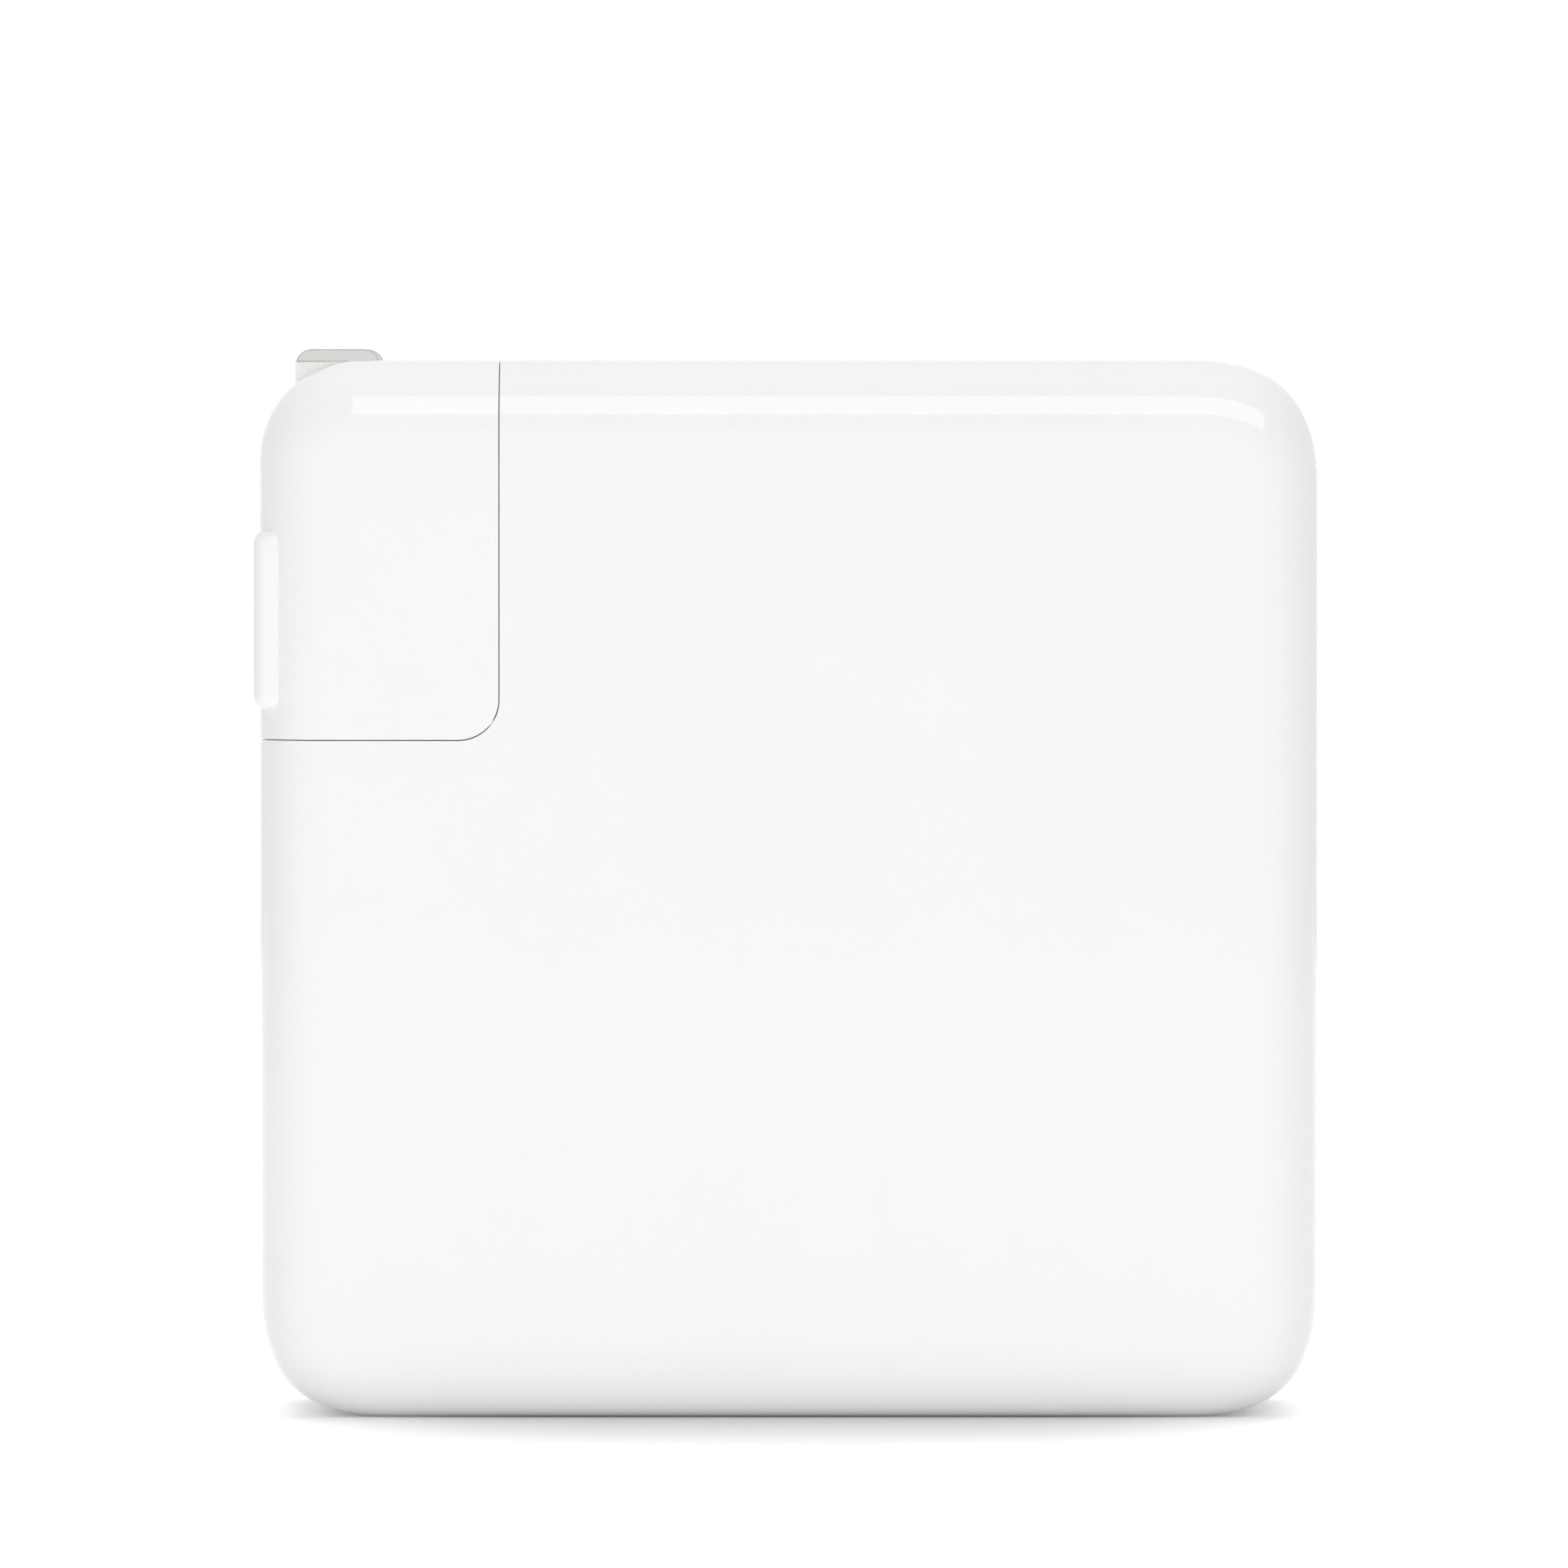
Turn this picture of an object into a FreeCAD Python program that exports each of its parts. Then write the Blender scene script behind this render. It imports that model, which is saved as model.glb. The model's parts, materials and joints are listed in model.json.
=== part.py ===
import FreeCAD
import Part
import math
import os

# Laptop power adapter: a square white case with a removable corner plug whose two flat blades fold away.
# The case stands on its bottom edge. X runs left to right, Y from the front face to the back face and
# Z up. The origin is the middle of the face that it stands on. Every size is in millimetres.

V = FreeCAD.Vector

# Case
body_width = 80.0
body_height = 80.0
body_depth = 28.5
edge_round = 5.5
corner_ease_radius = 16.0
corner_ease_angle = 21.4
inner_slope = 0.6
wall = 2.0
tongue_height = 1.2
tongue_clearance = 0.08

# Corner plug
plug_width = 18.15
plug_height = 28.65
plug_ease_radius = 11.75
plug_ease_angle = 25.0
plug_wall = 1.8
seam_gap = 0.15
seam_corner_radius = 3.1
seam_edge = 0.2
fit_gap = 0.05

# Raised pad round the blades
pad_height = 13.6
pad_width = 25.0
pad_proud = 0.43
pad_edge_round = 1.05
pad_lift = 2.175

# Blades and their hub
blade_width = 6.35
blade_thickness = 1.5
blade_spacing = 12.7
blade_inset = 5.79
blade_tip_proud = 0.85
blade_tip_round = 1.25
blade_bevel_length = 0.95
blade_bevel_depth = 0.35
pivot_inset = 4.0
hub_radius = 3.0
hub_side_gap = 4.75
hub_flat_depth = 0.3
hub_key = 3.0
hub_collar = 4.2
pivot_pin_radius = 1.0
running_gap = 0.05
turning_gap = 0.3
blade_side_gap = 0.4
slot_wall = 1.0
bearing_thickness = 1.4
bearing_reach = 2.6

# Figure-eight mains inlet
inlet_pin_spacing = 8.6
inlet_pin_radius = 1.2
inlet_pin_depth = 1.3
inlet_pin_tail = 2.5
inlet_depth = 9.0
inlet_lobe_radius = 4.1
inlet_waist = 2.9
inlet_floor = 1.5
inlet_rim = 0.9
inlet_shoulder = 0.8
inlet_lead_width = 2.0
inlet_lead_thickness = 0.5
inlet_lead_drop = 3.0
nose_gap = 0.2
nose_end_gap = 0.4
sleeve_wall = 0.6
sleeve_set_back = 0.6
contact_strip = 0.4
contact_strip_width = 2.0

# Ground stud and the rail that it runs in
stud_above_floor = 11.2
stud_neck_radius = 2.0
stud_head_radius = 3.6
stud_head_thickness = 1.3
stud_shank_radius = 1.5
stud_slot_gap = 0.2
base_wall = 1.2
rail_thickness = 0.45
rail_half_width = 4.2
rail_clearance = 0.15
rail_box_wall = 0.9
rail_box_depth = 2.5
nut_across_flats = 5.5
nut_thickness = 2.4
strap_thickness = 0.5
strap_width = 5.0
strap_foot = 3.0
detent_half_width = 2.8

# Charging port
port_shell_length = 8.94
port_shell_height = 3.26
port_shell_wall = 0.3
port_shell_depth = 7.35
port_recess = 0.6
port_clearance = 0.17
port_tongue_width = 6.7
port_tongue_thickness = 0.7
port_tongue_length = 4.5
port_block_depth = 2.2
port_contacts = 12
port_contact_pitch = 0.5
port_contact_width = 0.25
port_contact_length = 3.6
port_contact_thickness = 0.06
port_board_thickness = 1.0
port_board_width = 13.0
bracket_depth = 4.5
bracket_half_height = 7.5
bracket_top = 2.4
header_pins = 6
header_pin_spacing = 2.54
header_pin = 0.64
header_thickness = 2.5

# Boards, films and heat spreaders
board_thickness = 1.6
board_edge_gap = 0.8
board_back_space = 1.35
film_thickness = 0.3
spreader_thickness = 0.6
post_half = 2.0
post_pin_half = 0.8
post_pin_length = 2.4
post_hole_gap = 0.1
post_inset = 4.0
chip_height = 1.1
chip_length = 6.0
chip_width = 5.0
small_chip_length = 4.0
controller_side = 4.4

# Components on the main board
can_sides = 16
bulk_radius = 8.0
bulk_wall_gap = 1.2
bulk_end_gap = 3.2
can_gap = 0.5
output_capacitor_radius = 3.9
output_capacitor_height = 11.0
core_leg = 2.4
winding_gap = 0.15
winding_overhang = 3.6
bobbin_wall = 0.6
bobbin_flange = 1.2
transformer_width = 11.0
choke_width = 9.0
choke_length = 16.5
thermal_pad_thickness = 3.25
line_choke_width = 14.0
line_choke_height = 13.0
line_choke_depth = 3.6
line_choke_leg = 3.0
line_choke_winding = 1.6
case_bevel = 0.6
x_capacitor_length = 18.0
x_capacitor_width = 8.5
x_capacitor_height = 14.0
fuse_length = 8.5
fuse_width = 4.2
fuse_height = 8.0
varistor_radius = 5.2
varistor_thickness = 4.2
y_capacitor_length = 7.0
y_capacitor_width = 4.0
y_capacitor_height = 7.5
disc_stand_off = 1.2
lead_half = 0.35
bridge_length = 15.0
bridge_thickness = 3.6
bridge_height = 11.0
optocoupler_length = 6.5
optocoupler_width = 4.6
optocoupler_height = 3.5
heatsink_length = 24.0
heatsink_thickness = 1.5
transistor_width = 9.5
transistor_thickness = 2.7
transistor_height = 12.0
component_gap = 1.5
narrow_gap = 0.2
transistor_space = 4.35

# Places worked out from the sizes above
left = -body_width / 2
right = body_width / 2
front = -body_depth / 2
back = body_depth / 2
top = body_height
half_gap = seam_gap / 2
seam_x = left + plug_width
seam_z = top - plug_height
notch_wall_x = seam_x + half_gap
notch_floor_z = seam_z - half_gap
plug_right = seam_x - half_gap
plug_bottom = seam_z + half_gap
inner_left = left + wall
inner_right = right - wall
inner_bottom = wall
inner_top = top - wall
inner_front = front + wall
inner_back = back - wall
far = body_width + body_height + body_depth

pad_z = plug_bottom + pad_lift + pad_height / 2
blade_offset = blade_inset - pivot_inset
pivot_x = left + pivot_inset
pivot_z = pad_z - blade_offset
blade_half = blade_width / 2
blade_y = blade_spacing / 2
slot_half = blade_thickness / 2 + blade_side_gap
slot_floor_x = pivot_x + blade_offset + blade_half + turning_gap
slot_low_z = pivot_z + blade_offset - blade_half - turning_gap
slot_roof_z = pivot_z + blade_half + blade_offset + turning_gap
hub_half_length = back - hub_side_gap
bearing_y = hub_half_length + turning_gap

inlet_x = left + plug_width / 2
inlet_y = inlet_pin_spacing / 2
inlet_floor_z = notch_floor_z - inlet_depth
inlet_block_z = inlet_floor_z - inlet_floor
inlet_collar_x = inlet_lobe_radius + inlet_rim
inlet_collar_y = inlet_y + inlet_lobe_radius + inlet_rim
inlet_block_x = inlet_collar_x + inlet_shoulder
inlet_block_y = inlet_collar_y + inlet_shoulder
inlet_tail_z = inlet_block_z - inlet_pin_tail
nose_radius = inlet_lobe_radius - nose_gap
nose_tip_z = inlet_floor_z + nose_end_gap
sleeve_bore = inlet_pin_radius + running_gap
sleeve_half = sleeve_bore + sleeve_wall
base_floor_z = plug_bottom + plug_wall

stud_z = seam_z + stud_above_floor
rail_x = plug_right - base_wall - rail_thickness
stud_head_x = rail_x - rail_clearance
rail_box_x = plug_right - base_wall - rail_box_depth
rail_box_top = stud_z + rail_half_width + rail_clearance
slot_neck = stud_neck_radius + stud_slot_gap

film_front_y = inner_front + spreader_thickness
component_top_y = film_front_y + film_thickness
film_back_y = inner_back - spreader_thickness - film_thickness
board_back_y = film_back_y - board_back_space
board_y = board_back_y - board_thickness
board_left = inner_left + board_edge_gap
board_right = inner_right - board_edge_gap
board_bottom = inner_bottom + board_edge_gap
board_top = inner_top - board_edge_gap

port_z = body_height / 2
port_mouth_x = right - port_recess
port_back_x = port_mouth_x - port_shell_depth
port_board_y = port_shell_height / 2
port_board_back_y = port_board_y + port_board_thickness
port_board_right = inner_right - tongue_clearance
port_board_left = port_board_right - port_board_width
bulk_edge_z = inner_bottom + bulk_wall_gap + 2 * bulk_radius
port_board_half_height = port_z - bulk_edge_z - 2 * output_capacitor_radius - 2 * can_gap
header_x = port_board_left + header_thickness / 2

bulk_low_z = bulk_edge_z - bulk_radius
bulk_high_z = top - bulk_low_z
right_post_x = board_right - post_inset
bulk_right = right_post_x + post_half
low_post_z = port_z - port_board_half_height - post_inset - component_gap
high_post_z = port_z + port_board_half_height + post_inset
left_post_x = board_left + post_inset
notch_post_x = notch_wall_x + wall + post_inset
transformer_x = port_board_left - component_gap * 2 - transformer_width / 2 - winding_overhang
transformer_low_z = bulk_edge_z + narrow_gap + optocoupler_width + component_gap
heatsink_z = top - bulk_edge_z - transistor_space - transistor_thickness - heatsink_thickness
transformer_length = heatsink_z - component_gap / 2 - transformer_low_z
transformer_z = transformer_low_z + transformer_length / 2
transformer_height = board_y - component_top_y - thermal_pad_thickness
heatsink_right = right_post_x - post_half - 2 * (component_gap + output_capacitor_radius)
choke_x = notch_post_x + post_inset + choke_width / 2 + winding_overhang
choke_z = inner_top - component_gap - choke_length / 2
bulk_length = bulk_right - choke_x - choke_width / 2 - winding_overhang - bobbin_wall - bulk_end_gap
y_capacitor_x = bulk_right - bulk_length - 2 * component_gap
optocoupler_x = y_capacitor_x + y_capacitor_length + can_gap
line_choke_x = inlet_x + inlet_block_x + component_gap + line_choke_width / 2 + line_choke_winding
line_choke_z = port_z


def box(x0, x1, y0, y1, z0, z1):
    """A block between two planes on each axis."""
    return Part.makeBox(x1 - x0, y1 - y0, z1 - z0, V(x0, y0, z0))


def rod(radius, start, end):
    """A round bar from one point to another."""
    run = end - start
    return Part.makeCylinder(radius, run.Length, start, run)


def can(radius, start, end):
    """A many-sided bar for the round components inside the case."""
    run = end - start
    side = run.cross(V(1, 1, 1)).normalize() * radius
    turn = FreeCAD.Rotation(run, 360 / can_sides)
    points = [start + side]
    for _ in range(can_sides):
        side = turn.multVec(side)
        points.append(start + side)
    return Part.Face(Part.makePolygon(points)).extrude(run)


def joined(*shapes):
    """Shapes that touch or overlap, as one solid."""
    whole = shapes[0].fuse(list(shapes[1:]))
    return whole.removeSplitter()


def mirrored(shape):
    """The same shape on the other side of the middle plane."""
    return shape.mirror(V(0, 0, 0), V(0, 1, 0))


def corner_square(ease, angle):
    """How far the centre of a corner's middle arc lies in from both sides."""
    return ease - (ease - edge_round) * math.cos(math.radians(angle))


def round_corner(ease, angle):
    """The radius of the plain arc that cuts a corner as deep as its three arcs do."""
    half_turn = math.sqrt(2)
    return (corner_square(ease, angle) * half_turn - edge_round) / (half_turn - 1)


def soft_corner(side_x, side_z, sign_x, sign_z):
    """Three tangent arcs of a case corner, from its upright side to its level side."""
    at_plug = sign_x < 0 < sign_z
    ease = plug_ease_radius if at_plug else corner_ease_radius
    angle = plug_ease_angle if at_plug else corner_ease_angle
    turn = math.radians(angle)
    square = corner_square(ease, angle)
    reach = square + (ease - edge_round) * math.sin(turn)
    quarter = math.pi / 2

    def arc(centre_u, centre_v, radius, start, end):
        def point(angle):
            u = centre_u - radius * math.cos(angle)
            v = centre_v - radius * math.sin(angle)
            return V(side_x - sign_x * u, front, side_z - sign_z * v)

        return Part.Arc(point(start), point((start + end) / 2), point(end)).toShape()

    arcs = [
        arc(ease, reach, ease, 0, turn),
        arc(square, square, edge_round, turn, quarter - turn),
        arc(reach, ease, ease, quarter - turn, quarter),
    ]
    low = V(side_x, front, side_z - sign_z * reach)
    return arcs, low, V(side_x - sign_x * reach, front, side_z)


corner_round = round_corner(corner_ease_radius, corner_ease_angle)
plug_corner_round = round_corner(plug_ease_radius, plug_ease_angle)


def case_block():
    """The front outline of the case as a straight block from front to back."""
    edges = []
    upright, level = {}, {}
    for sign_x, side_x in ((1, right), (-1, left)):
        for sign_z, side_z in ((1, top), (-1, 0.0)):
            arcs, start, end = soft_corner(side_x, side_z, sign_x, sign_z)
            edges += arcs
            upright.setdefault(sign_x, []).append(start)
            level.setdefault(sign_z, []).append(end)
    for ends in list(upright.values()) + list(level.values()):
        edges.append(Part.LineSegment(ends[0], ends[1]).toShape())
    face = Part.Face(Part.Wire(Part.__sortEdges__(edges)))
    return face.extrude(V(0, body_depth, 0))


def rim_edges(block):
    """The edges of a block that lie in its front and back faces."""
    return [edge for edge in block.Edges if edge.BoundBox.YLength < 1e-6]


def case_form():
    """The whole outer form of the case, with its rounded rims."""
    block = case_block()
    return block.makeFillet(edge_round, rim_edges(block))


def case_hollow(inset):
    """The inside of the case, drawn in by inset on every side, with sloping corners and rims."""
    block = box(left + inset, right - inset, front + inset, back - inset, inset, top - inset)
    for at_plug, radius in ((False, corner_round), (True, plug_corner_round)):
        corners = [
            edge
            for edge in block.Edges
            if edge.BoundBox.YLength > body_depth / 2
            and (edge.BoundBox.XMin < 0 and edge.BoundBox.ZMin > body_height / 2) == at_plug
        ]
        block = block.makeChamfer((radius - inset) * inner_slope, corners)
    return block.makeChamfer((edge_round - inset) * inner_slope, rim_edges(block))


def plug_zone(grow):
    """The corner that the plug fills, grown on the two sides that face the case."""
    zone = box(left - far, seam_x + grow, -far, far, seam_z - grow, top + far)
    corner = [
        edge
        for edge in zone.Edges
        if edge.BoundBox.XMin > seam_x - far / 2
        and edge.BoundBox.ZMax < seam_z + far / 2
        and edge.BoundBox.YLength > far
    ]
    return zone.makeFillet(seam_corner_radius + grow, corner)


def soft_seam(shape, grow):
    """Breaks the visible edges of the seam between the case and the plug."""
    radius = seam_corner_radius + grow
    centre_x = seam_x + grow - radius
    centre_z = seam_z - grow + radius

    def on_seam(point):
        near = 1e-4
        beside = abs(point.x - seam_x - grow) < near
        below = abs(point.z - seam_z + grow) < near
        bend = abs(math.hypot(point.x - centre_x, point.z - centre_z) - radius) < near
        return beside or below or bend

    edges = []
    for edge in shape.Edges:
        if edge.Degenerated:
            continue
        bounds = edge.BoundBox
        across = bounds.YLength > body_depth / 2
        inner = across and bounds.ZMax < top - edge_round and bounds.XMin > left + edge_round
        if not inner and all(on_seam(point) for point in edge.discretize(5)):
            edges.append(edge)
    return shape.makeChamfer(seam_edge, edges)


def tongue_bars(grow, inside, y0, y1):
    """Straight bars that run along the case's four sides, inside the wall's middle."""
    skin = wall / 2 + tongue_clearance - grow
    start = corner_round - grow
    return [
        box(left + start, right - start, y0, y1, skin, inside),
        box(notch_wall_x + start, right - start, y0, y1, top - inside, top - skin),
        box(left + skin, left + inside, y0, y1, start, notch_floor_z - start),
        box(right - inside, right - skin, y0, y1, start, port_z - bracket_half_height + grow),
        box(right - inside, right - skin, y0, y1, port_z + bracket_half_height - grow, top - start),
    ]


def post_places():
    """Where the four posts that hold the main board stand, as x and z."""
    return [
        (left_post_x, board_bottom + post_inset),
        (right_post_x, low_post_z),
        (right_post_x, high_post_z),
        (notch_post_x, board_top - post_inset + component_gap),
    ]


def post_bars(half, y0, y1):
    """Square bars at the posts' places."""
    bars = [box(x - half, x + half, y0, y1, z - half, z + half) for x, z in post_places()]
    return bars[0].fuse(bars[1:])


def port_tunnel(grow, x0, x1):
    """The rounded slot of the charging port, its long side upright."""
    half = port_shell_height / 2 + grow
    reach = port_shell_length / 2 + grow - half
    ends = [rod(half, V(x0, 0, port_z + s * reach), V(x1, 0, port_z + s * reach)) for s in (-1, 1)]
    return joined(ends[0], ends[1], box(x0, x1, -half, half, port_z - reach, port_z + reach))


def inlet_opening(grow, z0, z1):
    """The rounded window in the case that the inlet's collar fills."""
    collar_x = inlet_collar_x + grow
    collar_y = inlet_collar_y + grow
    block = box(inlet_x - collar_x, inlet_x + collar_x, -collar_y, collar_y, z0, z1)
    uprights = [edge for edge in block.Edges if edge.BoundBox.ZLength > (z1 - z0) / 2]
    return block.makeFillet(collar_x / 2, uprights)


def figure_eight(lobe, waist, z0, z1):
    """Two round lobes with a narrower waist between them."""
    lobes = [rod(lobe, V(inlet_x, s * inlet_y, z0), V(inlet_x, s * inlet_y, z1)) for s in (-1, 1)]
    neck = box(inlet_x - waist, inlet_x + waist, -inlet_y, inlet_y, z0, z1)
    return joined(lobes[0], lobes[1], neck)


def stud_bar(grow, x0, x1):
    """The round bar of the stud's threaded shank."""
    return rod(stud_shank_radius + grow, V(x0, 0, stud_z), V(x1, 0, stud_z))


def stud_hole():
    """The hole in the case that the stud's shank passes through."""
    return stud_bar(fit_gap, notch_wall_x - 1, notch_wall_x + 2 * wall)


def case_wall():
    """The hollow case before it is split, open only where something passes through it."""
    outer = soft_seam(case_form().cut(plug_zone(half_gap)), half_gap)
    hollow = case_hollow(wall).cut(plug_zone(half_gap + wall))
    shell = outer.cut(hollow)
    shell = shell.cut(port_tunnel(port_clearance, inner_right - 1, right + 1))
    window = inlet_opening(fit_gap, notch_floor_z - wall - 1, notch_floor_z + 1)
    return shell.cut(window).cut(stud_hole())


def make_front_shell(shell):
    """Front half of the case, with the tongues and the posts that press on the board."""
    half = shell.common(box(left - 1, right + 1, front - 1, 0, -1, top + 1))
    tongues = tongue_bars(0, wall, -tongue_height, tongue_height)
    posts = post_bars(post_half, inner_front, board_y)
    bores = post_bars(post_pin_half + post_hole_gap, board_y - post_pin_length, board_y)
    return joined(half, posts.cut(bores), *tongues)


def make_rear_shell(shell):
    """Back half of the case, with the grooves and the pinned posts that the board sits on."""
    half = shell.common(box(left - 1, right + 1, 0, back + 1, -1, top + 1))
    half = half.cut(tongue_bars(tongue_clearance, wall + 1, -1, tongue_height + tongue_clearance))
    posts = post_bars(post_half, board_back_y, inner_back)
    pins = post_bars(post_pin_half, board_back_y - post_pin_length, board_back_y)
    return joined(half, posts, pins)


def make_inlet_block():
    """Insulating block with the figure-eight recess."""
    shoulder_z = notch_floor_z - wall
    collar = inlet_opening(0, shoulder_z, notch_floor_z)
    block = box(
        inlet_x - inlet_block_x,
        inlet_x + inlet_block_x,
        -inlet_block_y,
        inlet_block_y,
        inlet_block_z,
        shoulder_z,
    )
    uprights = [edge for edge in block.Edges if edge.BoundBox.ZLength > inlet_depth / 2]
    block = joined(collar, block.makeChamfer(inlet_shoulder, uprights))
    block = block.cut(figure_eight(inlet_lobe_radius, inlet_waist, inlet_floor_z, notch_floor_z + 1))
    return block.cut(inlet_pin_bars(inlet_block_z - 1, inlet_floor_z + 1))


def inlet_pin_bars(z0, z1):
    """The two contact pins as plain round bars."""
    bars = [
        rod(inlet_pin_radius, V(inlet_x, s * inlet_y, z0), V(inlet_x, s * inlet_y, z1))
        for s in (-1, 1)
    ]
    return Part.makeCompound(bars)


def make_inlet_leads():
    """Two bent strips, each from under a pin's tail to the main board, one below the other."""
    x0 = inlet_x - inlet_lead_width / 2
    x1 = inlet_x + inlet_lead_width / 2
    leads = []
    for level, s in enumerate((1, -1)):
        y0 = s * inlet_y - inlet_lead_width / 2
        z1 = inlet_tail_z - level * (inlet_lead_drop + component_gap)
        z0 = z1 - inlet_lead_thickness
        riser = box(x0, x1, y0, y0 + inlet_lead_width, z0, inlet_tail_z)
        run = box(x0, x1, y0, board_y, z0, z1)
        foot = box(x0, x1, board_y - inlet_lead_thickness, board_y, z1 - inlet_lead_drop, z1)
        leads.append(joined(riser, run, foot))
    return Part.makeCompound(leads)


def make_ground_stud():
    """Turned metal stud: head, neck, and the thinner shank that the nut holds."""
    shank_end = notch_wall_x + wall + strap_thickness + nut_thickness
    head = rod(stud_head_radius, V(stud_head_x - stud_head_thickness, 0, stud_z), V(stud_head_x, 0, stud_z))
    neck = rod(stud_neck_radius, V(stud_head_x, 0, stud_z), V(notch_wall_x, 0, stud_z))
    return joined(head, neck, stud_bar(0, notch_wall_x, shank_end))


def make_ground_nut():
    """Hexagon nut on the stud's shank, inside the case."""
    start = notch_wall_x + wall + strap_thickness
    corner = nut_across_flats / math.sqrt(3)
    points = [
        V(start, corner * math.cos(math.radians(60 * i)), stud_z + corner * math.sin(math.radians(60 * i)))
        for i in range(7)
    ]
    nut = Part.Face(Part.makePolygon(points)).extrude(V(nut_thickness, 0, 0))
    return nut.cut(stud_bar(0, start - 1, start + nut_thickness + 1))


def make_ground_strap():
    """Bent metal strap from the stud to the main board."""
    x = notch_wall_x + wall
    half = strap_width / 2
    run = box(x, x + strap_thickness, -half, board_y, stud_z - half, stud_z + half)
    foot = box(x, x + strap_foot, board_y - strap_thickness, board_y, stud_z - half, stud_z + half)
    reach = stud_shank_radius + fit_gap
    slot = box(x - 1, x + wall, -half - 1, reach, stud_z - reach, stud_z + reach)
    return joined(run, foot).cut(slot)


def make_usb_shell():
    """Drawn steel shell of the charging port."""
    outer = port_tunnel(0, port_back_x, port_mouth_x)
    return outer.cut(port_tunnel(-port_shell_wall, port_back_x - 1, port_mouth_x + 1))


def make_usb_tongue():
    """Insulator at the back of the port and the thin tongue that stands in it."""
    block_end = port_back_x + port_block_depth
    half_width = port_tongue_width / 2
    half_height = port_shell_height / 2 - port_shell_wall
    flat = (port_shell_length - port_shell_height) / 2
    block = box(port_back_x, block_end, -half_height, half_height, port_z - flat, port_z + flat)
    half = port_tongue_thickness / 2
    end = block_end + port_tongue_length
    tongue = box(block_end, end, -half, half, port_z - half_width, port_z + half_width)
    corners = [
        edge
        for edge in tongue.Edges
        if edge.BoundBox.XMin > end - 1e-3 and edge.BoundBox.YLength > half
    ]
    return joined(block, tongue.makeChamfer(half * 2, corners))


def make_usb_contacts():
    """A row of flat contacts on each side of the tongue."""
    start = port_back_x + port_block_depth
    low = port_tongue_thickness / 2
    contacts = []
    for i in range(port_contacts):
        z0 = port_z + (i - (port_contacts - 1) / 2) * port_contact_pitch - port_contact_width / 2
        z1 = z0 + port_contact_width
        strip = box(start, start + port_contact_length, low, low + port_contact_thickness, z0, z1)
        contacts += [strip, mirrored(strip)]
    return Part.makeCompound(contacts)


def make_port_bracket():
    """Plastic saddle that clamps the port to its board and to the case wall."""
    x0 = inner_right - bracket_depth
    z0 = port_z - bracket_half_height
    z1 = port_z + bracket_half_height
    saddle = box(x0, inner_right, -port_board_y - bracket_top, port_board_y, z0, z1)
    edges = [
        edge
        for edge in saddle.Edges
        if edge.BoundBox.XLength > bracket_depth / 2 and edge.BoundBox.YMax < 0
    ]
    saddle = saddle.makeChamfer(bracket_top / 2, edges)
    reach = port_shell_length / 2 + fit_gap
    legs = box(x0 - 1, inner_right + 1, 0, port_board_y + 1, port_z - reach, port_z + reach)
    return saddle.cut(port_tunnel(fit_gap, x0 - 1, inner_right + 1)).cut(legs)


def make_usb_board():
    """Small board that carries the port."""
    half = port_board_half_height
    return box(
        port_board_left,
        port_board_right,
        port_board_y,
        port_board_back_y,
        port_z - half,
        port_z + half,
    )


def make_port_controller():
    """Square controller chip on the port board."""
    x = port_board_left + component_gap
    half = controller_side / 2
    y0 = port_board_y - chip_height
    return box(x, x + controller_side, y0, port_board_y, port_z - half, port_z + half)


def header_bars(grow, y0, y1):
    """The square pins between the two boards."""
    half = header_pin / 2 + grow
    bars = []
    for i in range(header_pins):
        z = port_z + (i - (header_pins - 1) / 2) * header_pin_spacing
        bars.append(box(header_x - half, header_x + half, y0, y1, z - half, z + half))
    return bars


def make_link_pins():
    """Square pins from the port board to the main board."""
    return Part.makeCompound(header_bars(0, port_board_back_y, board_y))


def make_link_header():
    """Plastic strip that holds the square pins upright on the main board."""
    half = header_pins * header_pin_spacing / 2
    half_width = header_thickness / 2
    strip = box(
        header_x - half_width,
        header_x + half_width,
        board_y - header_thickness,
        board_y,
        port_z - half,
        port_z + half,
    )
    return strip.cut(Part.makeCompound(header_bars(0, board_y - header_thickness - 1, board_y + 1)))


def inlet_relief():
    """The corner of the main board that is cut away for the inlet."""
    x = inlet_x + inlet_block_x + board_edge_gap
    return box(left, x, -far, far, inlet_tail_z - board_edge_gap, top)


def make_main_board():
    """Board that carries the power components, cut to an L round the plug's corner."""
    board = box(board_left, board_right, board_y, board_back_y, board_bottom, board_top)
    outer_corners = [
        edge
        for edge in board.Edges
        if edge.BoundBox.YLength > board_thickness / 2
    ]
    board = board.makeChamfer(corner_round / 2, outer_corners)
    board = board.cut(plug_zone(half_gap + wall + strap_thickness)).cut(inlet_relief())
    return board.cut(post_bars(post_pin_half + post_hole_gap, board_y - 1, board_back_y + 1))


def plate(y0, y1):
    """A flat sheet that lies against a big face of the case, between the posts."""
    x0 = left_post_x + post_half + component_gap
    x1 = right_post_x - post_half - component_gap
    z1 = board_top - post_inset - post_half
    sheet = box(x0, x1, y0, y1, edge_round, z1)
    return sheet.cut(box(left, notch_wall_x + wall + component_gap, y0, y1, inlet_tail_z, top))


def make_board_chips():
    """Controller chips on the back of the main board."""
    chips = []
    for i, wide in enumerate((chip_length, small_chip_length, chip_length, small_chip_length)):
        x = transformer_x + transistor_width * (i - 2)
        chips.append(box(x, x + wide, board_back_y, board_back_y + chip_height, port_z, port_z + chip_width))
    return Part.makeCompound(chips)


def centred_block(x, y, z, half_x, half_y, half_z):
    """A block from its centre and its half sizes."""
    return box(x - half_x, x + half_x, y - half_y, y + half_y, z - half_z, z + half_z)


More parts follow.
